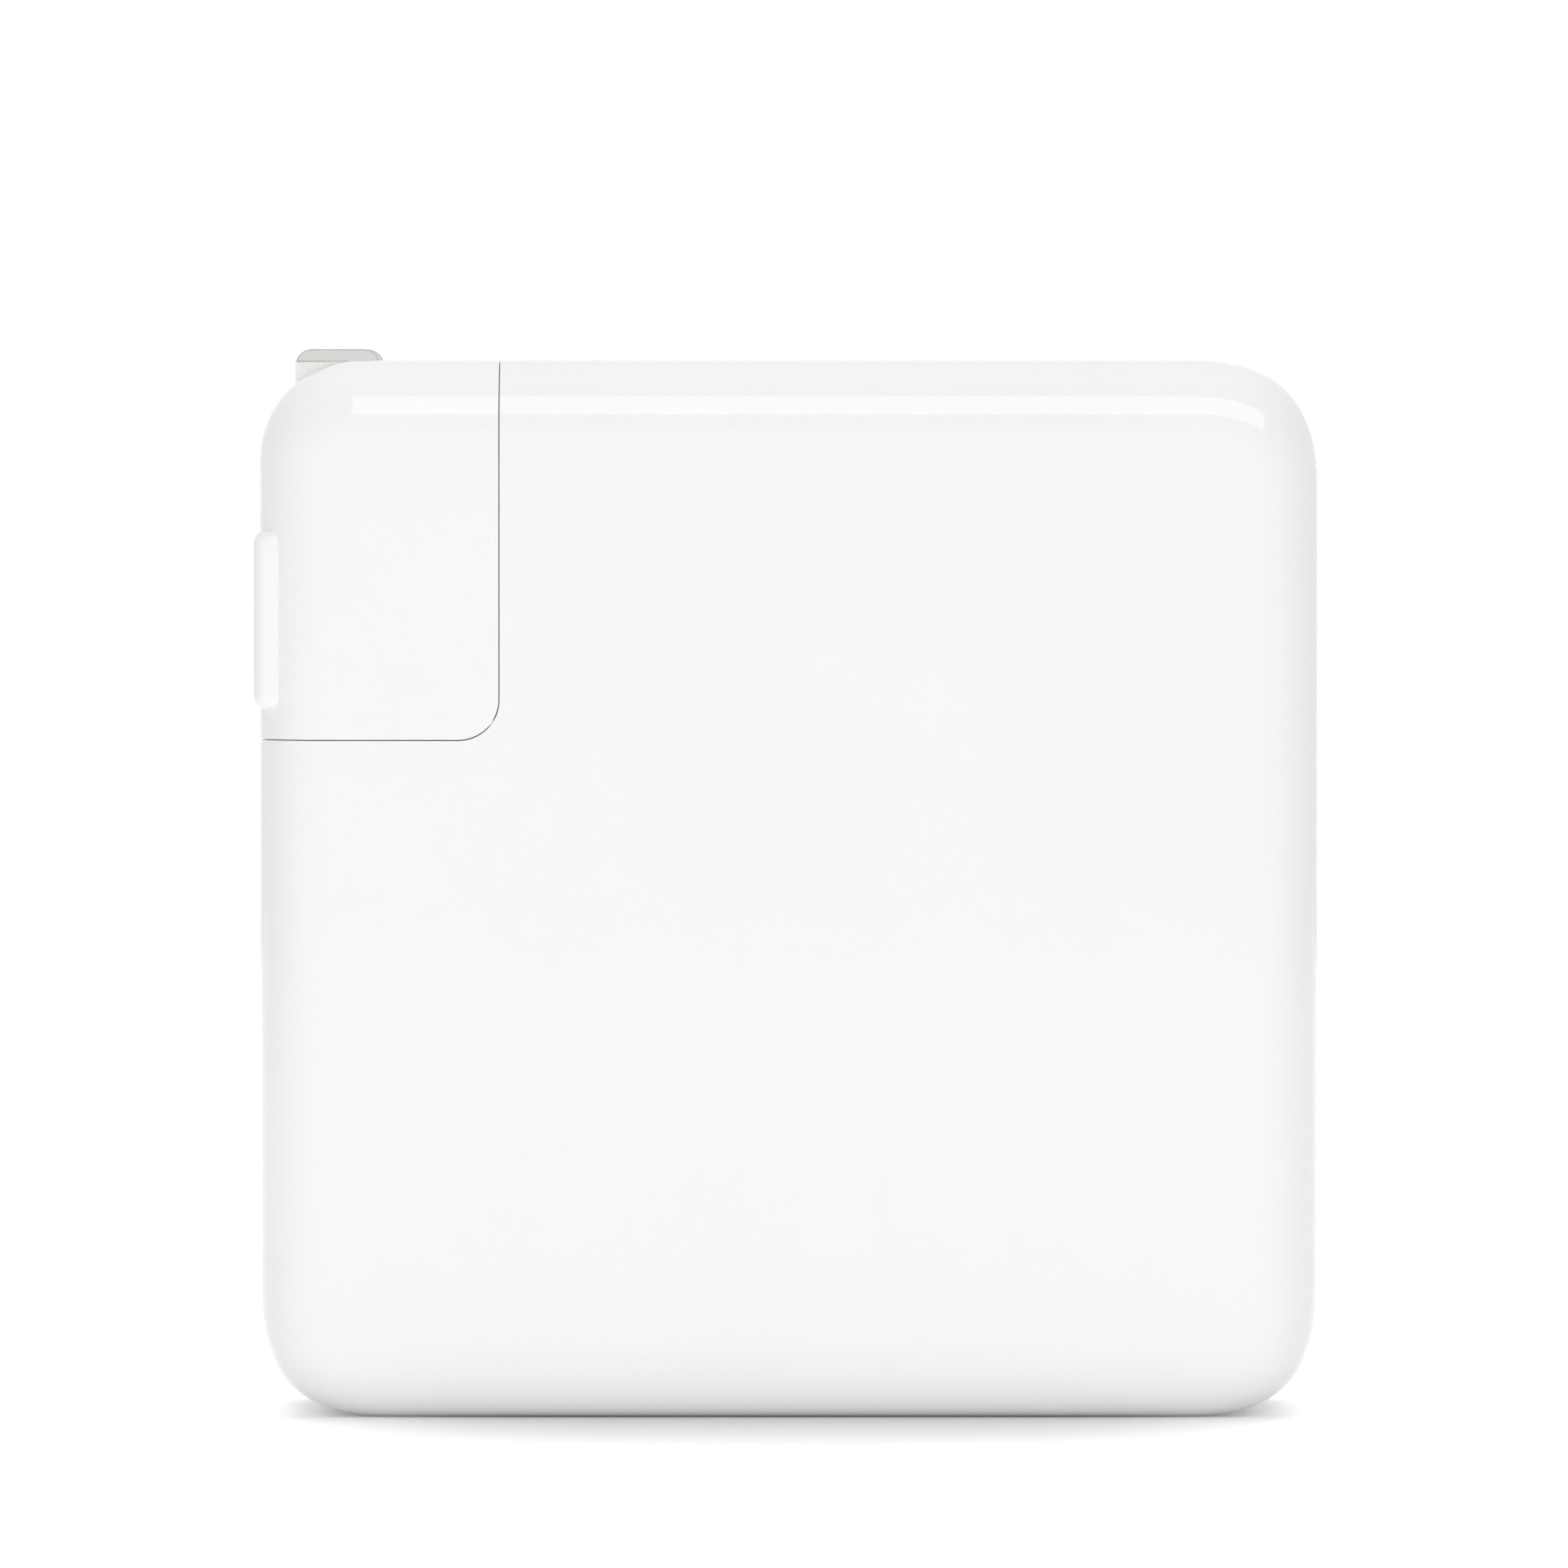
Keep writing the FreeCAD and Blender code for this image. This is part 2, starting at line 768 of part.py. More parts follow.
def ferrite_core(x, z, width, height, length, leg):
    """Three-legged ferrite core standing on the board, its legs along Z."""
    y = board_y - height / 2
    core = centred_block(x, y, z, width / 2, height / 2, length / 2)
    windows = centred_block(x, y, z, width, height / 2 - leg, length / 2 - leg)
    centre_leg = centred_block(x, y, z, width, leg, length / 2)
    return core.cut(windows.cut(centre_leg))


def ferrite_winding(x, z, width, height, length, leg):
    """Taped winding that fills the windows of a three-legged core."""
    y = board_y - height / 2
    gap = winding_gap
    half_height = height / 2 - leg - gap
    half_length = length / 2 - leg - bobbin_flange - gap
    block = centred_block(x, y, z, width / 2 + winding_overhang, half_height, half_length)
    edges = [edge for edge in block.Edges if edge.BoundBox.ZLength > half_length]
    block = block.makeChamfer(winding_overhang / 2, edges)
    wall_out = gap + bobbin_wall
    return block.cut(centred_block(x, y, z, width / 2 + wall_out, leg + wall_out, length))


def ferrite_bobbin(x, z, width, height, length, leg):
    """Moulded bobbin: a square tube, two flanges and the rails that stand on the board."""
    y = board_y - height / 2
    gap = winding_gap
    half_length = length / 2 - leg - gap
    wall_out = gap + bobbin_wall
    half_flange = height / 2 - leg - gap
    half_width = width / 2 + winding_overhang + bobbin_wall
    tube = centred_block(x, y, z, width / 2 + wall_out, leg + wall_out, half_length)
    flanges = centred_block(x, y, z, half_width, half_flange, half_length)
    between = centred_block(x, y, z, half_width + 1, half_flange + 1, half_length - bobbin_flange)
    bore = centred_block(x, y, z, width / 2 + gap, leg + gap, half_length + 1)
    rails = box(x - half_width, x + half_width, y, board_y, z - half_length, z + half_length)
    under_core = centred_block(x, y, z, width / 2 + gap, height, length)
    spool = joined(tube, flanges.cut(between)).cut(bore)
    return joined(spool, rails.cut(between).cut(under_core).cut(bore))


def transformer_sizes():
    """Place and sizes of the transformer."""
    return transformer_x, transformer_z, transformer_width, transformer_height, transformer_length, core_leg


def choke_sizes():
    """Place and sizes of the power-factor choke."""
    return choke_x, choke_z, choke_width, transformer_height, choke_length, core_leg


def make_line_choke_core():
    """Closed rectangular ferrite frame of the line choke."""
    y = board_y - line_choke_height / 2
    half_x = line_choke_width / 2
    half_y = line_choke_height / 2
    frame = centred_block(line_choke_x, y, line_choke_z, half_x, half_y, line_choke_depth / 2)
    inner = line_choke_leg
    return frame.cut(
        centred_block(line_choke_x, y, line_choke_z, half_x - inner, half_y - inner, line_choke_depth)
    )


def make_line_choke_windings():
    """Two windings, one round each upright leg of the line choke."""
    y = board_y - line_choke_height / 2
    half_y = line_choke_height / 2 - line_choke_leg - winding_gap
    offset = (line_choke_width - line_choke_leg) / 2
    windings = []
    for s in (-1, 1):
        x = line_choke_x + s * offset
        half_x = line_choke_leg / 2 + line_choke_winding
        half_z = line_choke_depth / 2 + line_choke_winding
        coil = centred_block(x, y, line_choke_z, half_x, half_y, half_z)
        leg = centred_block(
            x,
            y,
            line_choke_z,
            line_choke_leg / 2 + winding_gap,
            half_y + 1,
            line_choke_depth / 2 + winding_gap,
        )
        uprights = [edge for edge in coil.Edges if edge.BoundBox.YLength > half_y]
        windings.append(coil.makeChamfer(line_choke_winding / 2, uprights).cut(leg))
    return Part.makeCompound(windings)


def bevelled_box(x, z, length, width, height):
    """A boxed component standing on the board, with its upright edges bevelled."""
    block = box(x, x + length, board_y - height, board_y, z, z + width)
    edges = [edge for edge in block.Edges if edge.BoundBox.YLength > height / 2]
    return block.makeChamfer(case_bevel, edges)


def make_x_capacitor():
    """Boxed film capacitor low on the left."""
    z = board_bottom + post_inset * 2 + component_gap
    x = board_left + component_gap
    return bevelled_box(x, z, x_capacitor_length, x_capacitor_width, x_capacitor_height)


def make_fuse():
    """Boxed fuse above the film capacitor."""
    z = board_bottom + post_inset * 2 + x_capacitor_width + 2 * component_gap
    x = inlet_x + (inlet_lead_width + component_gap) / 2
    return bevelled_box(x, z, fuse_length, fuse_width, fuse_height)


def wire(x, z, y0):
    """A straight square lead from a component down to the board."""
    return box(x - lead_half, x + lead_half, y0, board_y, z - lead_half, z + lead_half)


def make_varistor():
    """Surge-limiting disc that stands on two leads below the line choke."""
    y = board_y - disc_stand_off - varistor_radius
    z = line_choke_z - line_choke_depth - line_choke_winding - varistor_thickness
    disc = can(varistor_radius, V(line_choke_x, y, z), V(line_choke_x, y, z + varistor_thickness))
    middle = z + varistor_thickness / 2
    leads = [wire(line_choke_x + s * varistor_radius / 2, middle, y) for s in (-1, 1)]
    return joined(disc, *leads)


def make_y_capacitor():
    """Small safety capacitor below the transformer."""
    z = transformer_low_z - component_gap - y_capacitor_width
    return bevelled_box(y_capacitor_x, z, y_capacitor_length, y_capacitor_width, y_capacitor_height)


def make_bridge_rectifier():
    """Flat rectifier that stands on four leads."""
    x = board_left + x_capacitor_length + 2 * component_gap
    z = board_bottom + post_inset
    y1 = board_y - disc_stand_off
    body = box(x, x + bridge_length, y1 - bridge_height, y1, z, z + bridge_thickness)
    leads = [wire(x + bridge_length * (i + 0.5) / 4, z + bridge_thickness / 2, y1) for i in range(4)]
    return joined(body, *leads)


def make_optocoupler():
    """Feedback optocoupler below the transformer."""
    x = optocoupler_x
    z = transformer_low_z - component_gap - optocoupler_width
    return box(x, x + optocoupler_length, board_y - optocoupler_height, board_y, z, z + optocoupler_width)


def bulk_capacitor(z):
    """Aluminium capacitor can on its side, with two leads bent down to the board."""
    x0 = bulk_right - bulk_length
    y = board_y - bulk_radius
    body = can(bulk_radius, V(x0, y, z), V(bulk_right, y, z))
    leads = []
    for s in (-1, 1):
        lead_z = z + s * bulk_radius / 2
        lead_x = x0 - component_gap / 2
        leads.append(box(lead_x, x0, y - lead_half, y + lead_half, lead_z - lead_half, lead_z + lead_half))
        leads.append(wire(lead_x, lead_z, y - lead_half))
    return joined(body, *leads)


def make_output_capacitors():
    """Two small upright capacitors, one beyond each end of the port board."""
    x = right_post_x - post_half - component_gap - output_capacitor_radius
    reach = port_board_half_height + output_capacitor_radius + can_gap
    cans = []
    for z in (port_z - reach, port_z + reach):
        low = V(x, board_y - output_capacitor_height, z)
        cans.append(can(output_capacitor_radius, low, V(x, board_y, z)))
    return Part.makeCompound(cans)


def make_transistor_heatsink():
    """Upright aluminium plate above the transformer."""
    x0 = heatsink_right - heatsink_length
    y0 = board_y - transformer_height
    return box(x0, heatsink_right, y0, board_y, heatsink_z, heatsink_z + heatsink_thickness)


def make_power_transistors():
    """Two flat power transistors on the heatsink."""
    z = heatsink_z + heatsink_thickness
    y1 = board_y - disc_stand_off
    bodies = []
    for i in range(2):
        x1 = heatsink_right - disc_stand_off - i * (transistor_width + disc_stand_off)
        bodies.append(box(x1 - transistor_width, x1, y1 - transistor_height, y1, z, z + transistor_thickness))
    return Part.makeCompound(bodies)


def make_thermal_pads():
    """Soft pads that carry heat from the wound parts to the front sheet."""
    pads = []
    for x, z, width, height, length, leg in (transformer_sizes(), choke_sizes()):
        y1 = board_y - height
        half_y = (y1 - component_top_y) / 2
        pads.append(centred_block(x, y1 - half_y, z, width / 2, half_y, length / 2 - leg))
    return Part.makeCompound(pads)


def raised_pad():
    """The softly rounded pad that the blades swing out of."""
    half = pad_width / 2
    pad = box(
        left - pad_proud, left + plug_wall, -half, half, pad_z - pad_height / 2, pad_z + pad_height / 2
    )
    return pad.makeFillet(pad_edge_round, [edge for edge in pad.Edges if edge.BoundBox.XMax < left])


def blade_slot(side):
    """The space that one blade folds into and swings through."""
    y = side * blade_y
    return box(left - far, slot_floor_x, y - slot_half, y + slot_half, slot_low_z, top + far)


def blade_pocket(side):
    """Walls that close one blade's slot off from the inside of the plug."""
    y = side * blade_y
    half = slot_half + slot_wall
    block = box(left, slot_floor_x + slot_wall, y - half, y + half, slot_roof_z, top)
    return block.common(case_hollow(plug_wall / 2))


def bearing_web(side):
    """Upright web with an open seat for one end of the pivot pin."""
    y0 = side * bearing_y
    y1 = side * (bearing_y + bearing_thickness)
    half = pivot_inset - plug_wall / 2
    web = box(
        left + plug_wall / 2,
        pivot_x + bearing_reach,
        min(y0, y1),
        max(y0, y1),
        pivot_z - half,
        pivot_z + half,
    )
    seat = pivot_pin_radius + running_gap
    bore = rod(seat, V(pivot_x, min(y0, y1) - 1, pivot_z), V(pivot_x, max(y0, y1) + 1, pivot_z))
    mouth = box(pivot_x, pivot_x + far, min(y0, y1) - 1, max(y0, y1) + 1, pivot_z - seat, pivot_z + seat)
    return web.cut(bore).cut(mouth)


def make_plug_housing():
    """Outer shell of the plug: pad, blade slots and the seats of the pivot pin."""
    outer = soft_seam(case_form().common(plug_zone(-half_gap)), -half_gap)
    hollow = case_hollow(plug_wall).common(plug_zone(far / 4))
    shell = joined(outer.cut(hollow), raised_pad())
    shell = joined(shell, blade_pocket(-1), blade_pocket(1), bearing_web(-1), bearing_web(1))
    barrel = rod(
        hub_radius + turning_gap, V(pivot_x, -bearing_y, pivot_z), V(pivot_x, bearing_y, pivot_z)
    )
    return shell.cut(barrel).cut(blade_slot(-1)).cut(blade_slot(1))


def pin_rib(side):
    """Rib of the plug's base that closes one pivot seat."""
    y0 = side * (bearing_y + fit_gap)
    y1 = side * (bearing_y + bearing_thickness - fit_gap)
    half = pivot_pin_radius
    rib = box(pivot_x, plug_right - base_wall / 2, min(y0, y1), max(y0, y1), pivot_z - half, pivot_z + half)
    seat = rod(
        pivot_pin_radius + running_gap,
        V(pivot_x, min(y0, y1) - 1, pivot_z),
        V(pivot_x, max(y0, y1) + 1, pivot_z),
    )
    return rib.cut(seat)


def make_plug_base():
    """Inner piece of the plug: the sides that face the case, the socket nose and the rail box."""
    inside = box(left - far, plug_right - base_wall, -far, far, base_floor_z, top + far)
    sides = case_hollow(plug_wall + fit_gap).common(plug_zone(-half_gap)).cut(inside)
    nose = figure_eight(nose_radius, inlet_waist - nose_gap, nose_tip_z, plug_bottom + plug_wall / 2)
    wide = rail_half_width + rail_clearance
    rail_box = box(
        rail_box_x - rail_box_wall,
        plug_right - base_wall,
        -wide - rail_box_wall,
        wide + rail_box_wall,
        plug_bottom,
        rail_box_top + rail_box_wall,
    )
    rail_box = rail_box.common(plug_zone(-half_gap))
    hollow = box(rail_box_x, plug_right - base_wall, -wide, wide, plug_bottom - 1, rail_box_top)
    base = joined(sides, nose, rail_box, pin_rib(-1), pin_rib(1))
    base = base.cut(hollow).cut(neck_slot(plug_right - base_wall - 1, plug_right + 1))
    base = base.cut(sleeve_bars(sleeve_half, nose_tip_z + sleeve_set_back, base_floor_z + 1))
    for s in (-1, 1):
        y = s * inlet_y
        entry = rod(sleeve_bore + running_gap, V(inlet_x, y, nose_tip_z - 1), V(inlet_x, y, base_floor_z))
        base = base.cut(entry)
    return base


def neck_slot(x0, x1):
    """The open-ended slot that the stud's neck runs in."""
    channel = box(x0, x1, -slot_neck, slot_neck, plug_bottom - 1, stud_z)
    return channel.fuse(rod(slot_neck, V(x0, 0, stud_z), V(x1, 0, stud_z)))


def make_ground_rail():
    """Stamped metal rail behind the neck's slot."""
    end = plug_right - base_wall
    half = rail_half_width
    rail = box(rail_x, end, -half, half, plug_bottom + fit_gap, stud_z + half)
    corners = [
        edge
        for edge in rail.Edges
        if edge.BoundBox.XLength > rail_thickness / 2 and edge.BoundBox.ZMin > stud_z
    ]
    rail = rail.makeChamfer(half / 2, corners)
    return rail.common(plug_zone(-half_gap - fit_gap)).cut(neck_slot(rail_x - 1, end + 1))


def sleeve_bars(half, z0, z1):
    """Two square bars on the axes of the inlet's pins."""
    bars = []
    for s in (-1, 1):
        y = s * inlet_y
        bars.append(box(inlet_x - half, inlet_x + half, y - half, y + half, z0, z1))
    return bars[0].fuse(bars[1])


def make_socket_sleeves():
    """Two folded square sleeves that grip the inlet's pins."""
    outside = sleeve_bars(sleeve_half, nose_tip_z + sleeve_set_back, base_floor_z)
    return outside.cut(sleeve_bars(sleeve_bore, nose_tip_z, plug_bottom))


def make_contact_springs():
    """Two bent strips that carry current from the sleeves to the blades' round ends."""
    springs = []
    tip_z = pivot_z - hub_radius - turning_gap * 2 / 3
    half = contact_strip_width / 2
    foot = box(
        pivot_x - half,
        inlet_x + sleeve_half,
        inlet_y - half,
        blade_y + half,
        base_floor_z,
        base_floor_z + contact_strip,
    )
    arm = box(
        pivot_x - contact_strip / 2,
        pivot_x + contact_strip / 2,
        blade_y - blade_thickness / 2,
        blade_y + blade_thickness / 2,
        base_floor_z,
        tip_z,
    )
    spring = joined(foot, arm)
    springs += [spring, mirrored(spring)]
    return Part.makeCompound(springs)


def make_detent_spring():
    """Leaf spring that clicks against the hub's flats."""
    x = pivot_x + hub_radius + turning_gap
    half = detent_half_width
    leaf = box(x, x + contact_strip, -half, half, base_floor_z, pivot_z + hub_radius / 2)
    foot = box(x, inlet_x, -half, half, base_floor_z, base_floor_z + contact_strip)
    return joined(leaf, foot)


def make_prong_hub():
    """Moulded hub that carries both blades on a square key, with two flats for the detent."""
    inner = blade_y - blade_thickness / 2
    outer = blade_y + blade_thickness / 2
    half_key = hub_key / 2
    key = box(pivot_x - half_key, pivot_x + half_key, -outer, outer, pivot_z - half_key, pivot_z + half_key)
    middle = rod(hub_radius, V(pivot_x, -inner, pivot_z), V(pivot_x, inner, pivot_z))
    flat = detent_half_width + turning_gap
    reach = hub_radius - hub_flat_depth
    side_flat = box(pivot_x + reach, pivot_x + far, -flat, flat, pivot_z - far, pivot_z + far)
    low_flat = box(pivot_x - far, pivot_x + far, -flat, flat, pivot_z - far, pivot_z - reach)
    half = hub_collar / 2
    collars = box(
        pivot_x - half, pivot_x + half, -hub_half_length, hub_half_length, pivot_z - half, pivot_z + half
    )
    collars = collars.cut(box(pivot_x - far, pivot_x + far, -outer, outer, pivot_z - far, pivot_z + far))
    hub = joined(middle.cut(side_flat).cut(low_flat), key, collars)
    return hub.cut(make_pivot_pin())


def make_pivot_pin():
    """Steel pin that the hub turns on, as long as both its seats allow."""
    end = bearing_y + bearing_thickness
    return rod(pivot_pin_radius, V(pivot_x, -end, pivot_z), V(pivot_x, end, pivot_z))


def make_blade(side):
    """One flat blade, folded upright, with a round eye at its foot and a bevelled tip."""
    y = side * blade_y
    y0 = y - blade_thickness / 2
    y1 = y + blade_thickness / 2
    tip_z = top + blade_tip_proud
    x = pivot_x + blade_offset
    strip = box(x - blade_half, x + blade_half, y0, y1, pivot_z + hub_key / 2, tip_z)
    corners = [
        edge
        for edge in strip.Edges
        if edge.BoundBox.YLength > blade_thickness / 2 and edge.BoundBox.ZMin > tip_z - 1e-3
    ]
    strip = strip.makeFillet(blade_tip_round, corners)
    for face_y, inward in ((y0, 1), (y1, -1)):
        corner = [
            V(x - far, face_y, tip_z - blade_bevel_length),
            V(x - far, face_y + inward * blade_bevel_depth, tip_z),
            V(x - far, face_y, tip_z),
            V(x - far, face_y, tip_z - blade_bevel_length),
        ]
        strip = strip.cut(Part.Face(Part.makePolygon(corner)).extrude(V(2 * far, 0, 0)))
    eye = rod(hub_radius, V(pivot_x, y0, pivot_z), V(pivot_x, y1, pivot_z))
    half_key = hub_key / 2
    hole = box(
        pivot_x - half_key, pivot_x + half_key, y0 - 1, y1 + 1, pivot_z - half_key, pivot_z + half_key
    )
    return joined(strip, eye).cut(hole)


def all_parts():
    """Every sub-part by its name."""
    shell = case_wall()
    return {
        "front_shell": make_front_shell(shell),
        "rear_shell": make_rear_shell(shell),
        "inlet_block": make_inlet_block(),
        "inlet_pins": inlet_pin_bars(inlet_tail_z, notch_floor_z - inlet_pin_depth),
        "inlet_leads": make_inlet_leads(),
        "ground_stud": make_ground_stud(),
        "ground_nut": make_ground_nut(),
        "ground_strap": make_ground_strap(),
        "usb_c_shell": make_usb_shell(),
        "usb_c_tongue": make_usb_tongue(),
        "usb_c_contacts": make_usb_contacts(),
        "port_bracket": make_port_bracket(),
        "port_board": make_usb_board(),
        "port_controller": make_port_controller(),
        "link_pins": make_link_pins(),
        "link_header": make_link_header(),
        "main_board": make_main_board(),
        "board_chips": make_board_chips(),
        "front_heat_spreader": plate(inner_front, film_front_y),
        "front_insulator": plate(film_front_y, component_top_y),
        "rear_heat_spreader": plate(film_back_y + film_thickness, inner_back),
        "rear_insulator": plate(film_back_y, film_back_y + film_thickness),
        "transformer_core": ferrite_core(*transformer_sizes()),
        "transformer_bobbin": ferrite_bobbin(*transformer_sizes()),
        "transformer_winding": ferrite_winding(*transformer_sizes()),
        "pfc_choke_core": ferrite_core(*choke_sizes()),
        "pfc_choke_bobbin": ferrite_bobbin(*choke_sizes()),
        "pfc_choke_winding": ferrite_winding(*choke_sizes()),
        "line_choke_core": make_line_choke_core(),
        "line_choke_windings": make_line_choke_windings(),
        "x_capacitor": make_x_capacitor(),
        "fuse": make_fuse(),
        "varistor": make_varistor(),
        "y_capacitor": make_y_capacitor(),
        "bridge_rectifier": make_bridge_rectifier(),
        "optocoupler": make_optocoupler(),
        "bulk_capacitor_upper": bulk_capacitor(bulk_high_z),
        "bulk_capacitor_lower": bulk_capacitor(bulk_low_z),
        "output_capacitors": make_output_capacitors(),
        "transistor_heatsink": make_transistor_heatsink(),
        "power_transistors": make_power_transistors(),
        "thermal_pads": make_thermal_pads(),
        "plug_housing": make_plug_housing(),
        "plug_base": make_plug_base(),
        "ground_rail": make_ground_rail(),
        "socket_sleeves": make_socket_sleeves(),
        "contact_springs": make_contact_springs(),
        "detent_spring": make_detent_spring(),
        "prong_hub": make_prong_hub(),
        "pivot_pin": make_pivot_pin(),
        "front_blade": make_blade(-1),
        "rear_blade": make_blade(1),
    }


os.makedirs("parts", exist_ok=True)
for name, shape in all_parts().items():
    shape.exportStep(f"parts/{name}.step")
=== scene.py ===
import json
import math

import bmesh
import bpy
from bpy.props import FloatProperty, FloatVectorProperty, IntProperty, PointerProperty
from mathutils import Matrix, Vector


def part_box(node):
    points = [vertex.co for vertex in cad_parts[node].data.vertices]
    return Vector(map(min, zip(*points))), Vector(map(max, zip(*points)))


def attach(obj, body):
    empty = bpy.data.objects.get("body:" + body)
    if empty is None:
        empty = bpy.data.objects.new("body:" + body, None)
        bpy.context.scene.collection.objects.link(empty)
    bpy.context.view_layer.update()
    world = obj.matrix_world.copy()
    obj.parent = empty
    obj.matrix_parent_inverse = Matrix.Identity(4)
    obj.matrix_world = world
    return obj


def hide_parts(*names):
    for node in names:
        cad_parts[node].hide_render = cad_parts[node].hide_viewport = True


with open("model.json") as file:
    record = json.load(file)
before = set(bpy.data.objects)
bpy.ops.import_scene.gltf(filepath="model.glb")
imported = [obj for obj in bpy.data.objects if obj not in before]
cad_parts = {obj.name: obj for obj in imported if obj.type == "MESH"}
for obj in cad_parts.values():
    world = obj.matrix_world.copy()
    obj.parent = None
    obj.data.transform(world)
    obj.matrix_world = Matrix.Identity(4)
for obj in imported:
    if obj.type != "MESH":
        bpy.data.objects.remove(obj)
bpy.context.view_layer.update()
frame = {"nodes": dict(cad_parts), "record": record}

bl_info = {
    "name": "Laptop power adapter",
    "version": (1, 0, 0),
    "blender": (4, 5, 0),
    "location": "View3D > Sidebar > Adapter",
    "description": "Builds a square laptop power adapter with a corner plug and folding blades",
    "category": "Add Mesh",
}

MM = 0.001


def corners(node):
    """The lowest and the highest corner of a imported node's box."""
    low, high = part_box(node)
    return Vector(low), Vector(high)


CASE_LOW, CASE_HIGH = corners("front_shell")
CASE_LOW.z = 0.0
CASE_HIGH.x, CASE_HIGH.y = -CASE_LOW.x, -CASE_LOW.y
PLUG_LOW, PLUG_HIGH = corners("plug_housing")
BLADE_LOW, BLADE_HIGH = corners("front_blade")
HUB_LOW, HUB_HIGH = corners("prong_hub")
INLET_LOW, INLET_HIGH = corners("inlet_block")
PIN_LOW, PIN_HIGH = corners("inlet_pins")
STUD_LOW, STUD_HIGH = corners("ground_stud")
PORT_LOW, PORT_HIGH = corners("usb_c_shell")
HUB_MIDDLE = (HUB_LOW + HUB_HIGH) / 2
STUD_HEIGHT = (STUD_LOW.z + STUD_HIGH.z) / 2

# How near a point counts as on a line, on a plane and on a rounded surface, in metres
ON_LINE = 1e-6
ON_PLANE = 2e-6
ON_SURFACE = 0.02 * MM
# How near a normal's part counts as none: for flat faces, and for the facets of a bend
SQUARE = 1e-4
NEARLY_SQUARE = 1e-3
# The share of half a bar's width that a bevel can take without doubled edges
FULL_ROUND = 0.9999
# The least turn between two faces that makes an edge of the blade sharp
SHARP_TURN = math.radians(15)
# Width of the camera's sensor, in millimetres
SENSOR = 36.0
# Steps round the small roundings
FINE_STEPS, SLOT_STEPS, SEAM_STEPS, PORT_STEPS, END_STEPS = 2, 3, 4, 4, 4
PIN_STEPS, WINDOW_STEPS, TIP_STEPS, HEAD_STEPS = 6, 12, 12, 96
# Places of the two colours and of the result in a colour mix node
MIX_FIRST, MIX_SECOND, MIX_RESULT = 6, 7, 2
# Where a pattern's value reaches its dark and its light colour
PATTERN_ENDS = (0.3, 0.7)
# How much darker and lighter a pattern makes its colour
FAINT, PLAIN, METALLIC = (0.995, 1.005), (0.95, 1.05), (0.9, 1.08)
DRAWN_ALONG_X, DRAWN_ACROSS_X = (1.0, 12.0, 12.0), (12.0, 1.0, 1.0)


def length(name, millimetres, description):
    """A length that the user can change, in metres."""
    return FloatProperty(
        name=name, description=description, default=millimetres * MM, unit="LENGTH", precision=5
    )


def angle(name, degrees, description):
    """An angle that the user can change, in radians."""
    return FloatProperty(
        name=name, description=description, default=math.radians(degrees), subtype="ANGLE"
    )


def number(name, value, description, **limits):
    """A plain number that the user can change."""
    return FloatProperty(name=name, description=description, default=value, **limits)


def colour(name, value, description):
    """A colour that the user can change."""
    return FloatVectorProperty(
        name=name, description=description, default=value, size=3, min=0, max=1, subtype="COLOR"
    )


class CaseSizes(bpy.types.PropertyGroup):
    """Sizes of the case's outside."""

    edge_round: length("Edge rounding", 5.5, "Radius of the edges round the front and back faces")
    corner_reach: length("Corner reach", 10.25, "How far each soft corner reaches along its sides")
    corner_profile: number(
        "Corner profile", 0.596, "Fullness of the soft corners", min=0.5, max=0.8
    )
    corner_circle: length("Corner circle", 7.97, "Radius of the circle nearest to each soft corner")
    wall: length("Wall", 2.0, "Thickness of the case wall")
    seam_space: length("Seam space", 0.15, "Space that the frame keeps between case and plug")
    seam_gap: length("Seam gap", 0.06, "Gap that shows between the case and the corner plug")
    seam_round: length("Seam rounding", 0.1, "Radius of the edges beside the seam")
    seam_corner: length("Seam corner", 3.1, "Radius of the seam where it turns")
    parting_round: length("Parting rounding", 0.1, "Radius of the edges where the two halves meet")
    port_gap: length("Port gap", 0.17, "Gap between the port's shell and the case")
    port_round: length("Port rounding", 0.22, "Radius of the outer edge of the port's opening")
    port_reach: length("Port reach", 5.5, "How far from the port's middle its rim can lie")
    inlet_shoulder: length("Inlet shoulder", 0.8, "How far the inlet reaches past its collar")
    inlet_gap: length("Inlet gap", 0.05, "Gap between the inlet's collar and the case")
    smoothness: IntProperty(
        name="Smoothness", description="Steps round each rounded edge", default=16, min=4, max=32
    )


class PlugSizes(bpy.types.PropertyGroup):
    """Sizes of the corner plug and its blades."""

    corner: length("Corner", 7.5, "Radius of the plug's outer corner")
    wall: length("Wall", 1.8, "Thickness of the plug's wall")
    pad_height: length("Pad height", 13.6, "Height of the raised pad")
    pad_width: length("Pad width", 25.0, "Width of the raised pad")
    pad_round: length("Pad rounding", 1.05, "Radius of the raised pad's edges")
    slot_width: length("Slot width", 2.3, "Width of each blade's slot")
    slot_round: length("Slot rounding", 0.2, "Radius of the slots' edges")
    slot_gap: length("Slot gap", 0.3, "Gap between each folded blade and the ends of its slot")
    slot_wall: length("Slot wall", 1.0, "Thickness of the wall beside each slot")
    slot_end_wall: length("Slot end wall", 1.3, "Thickness of the wall behind each slot")
    blade_width: length("Blade width", 6.35, "Width of each blade")
    tip_round: length("Tip rounding", 1.25, "Radius of the blades' tip corners")
    tip_bevel: length("Tip bevel", 0.95, "Length of the bevel at the blades' tips")
    tip_depth: length("Tip bevel depth", 0.5, "How deep the bevel goes at the blades' tips")
    # The tips' darkening is painted shade: a darker colour stands in for the bevel's darker
    # reflection.
    tip_blend: length("Tip blend", 0.1, "Half the length over which the tips turn darker")
    blade_edge: length("Blade edge", 0.08, "Rounding of the blades' long edges")


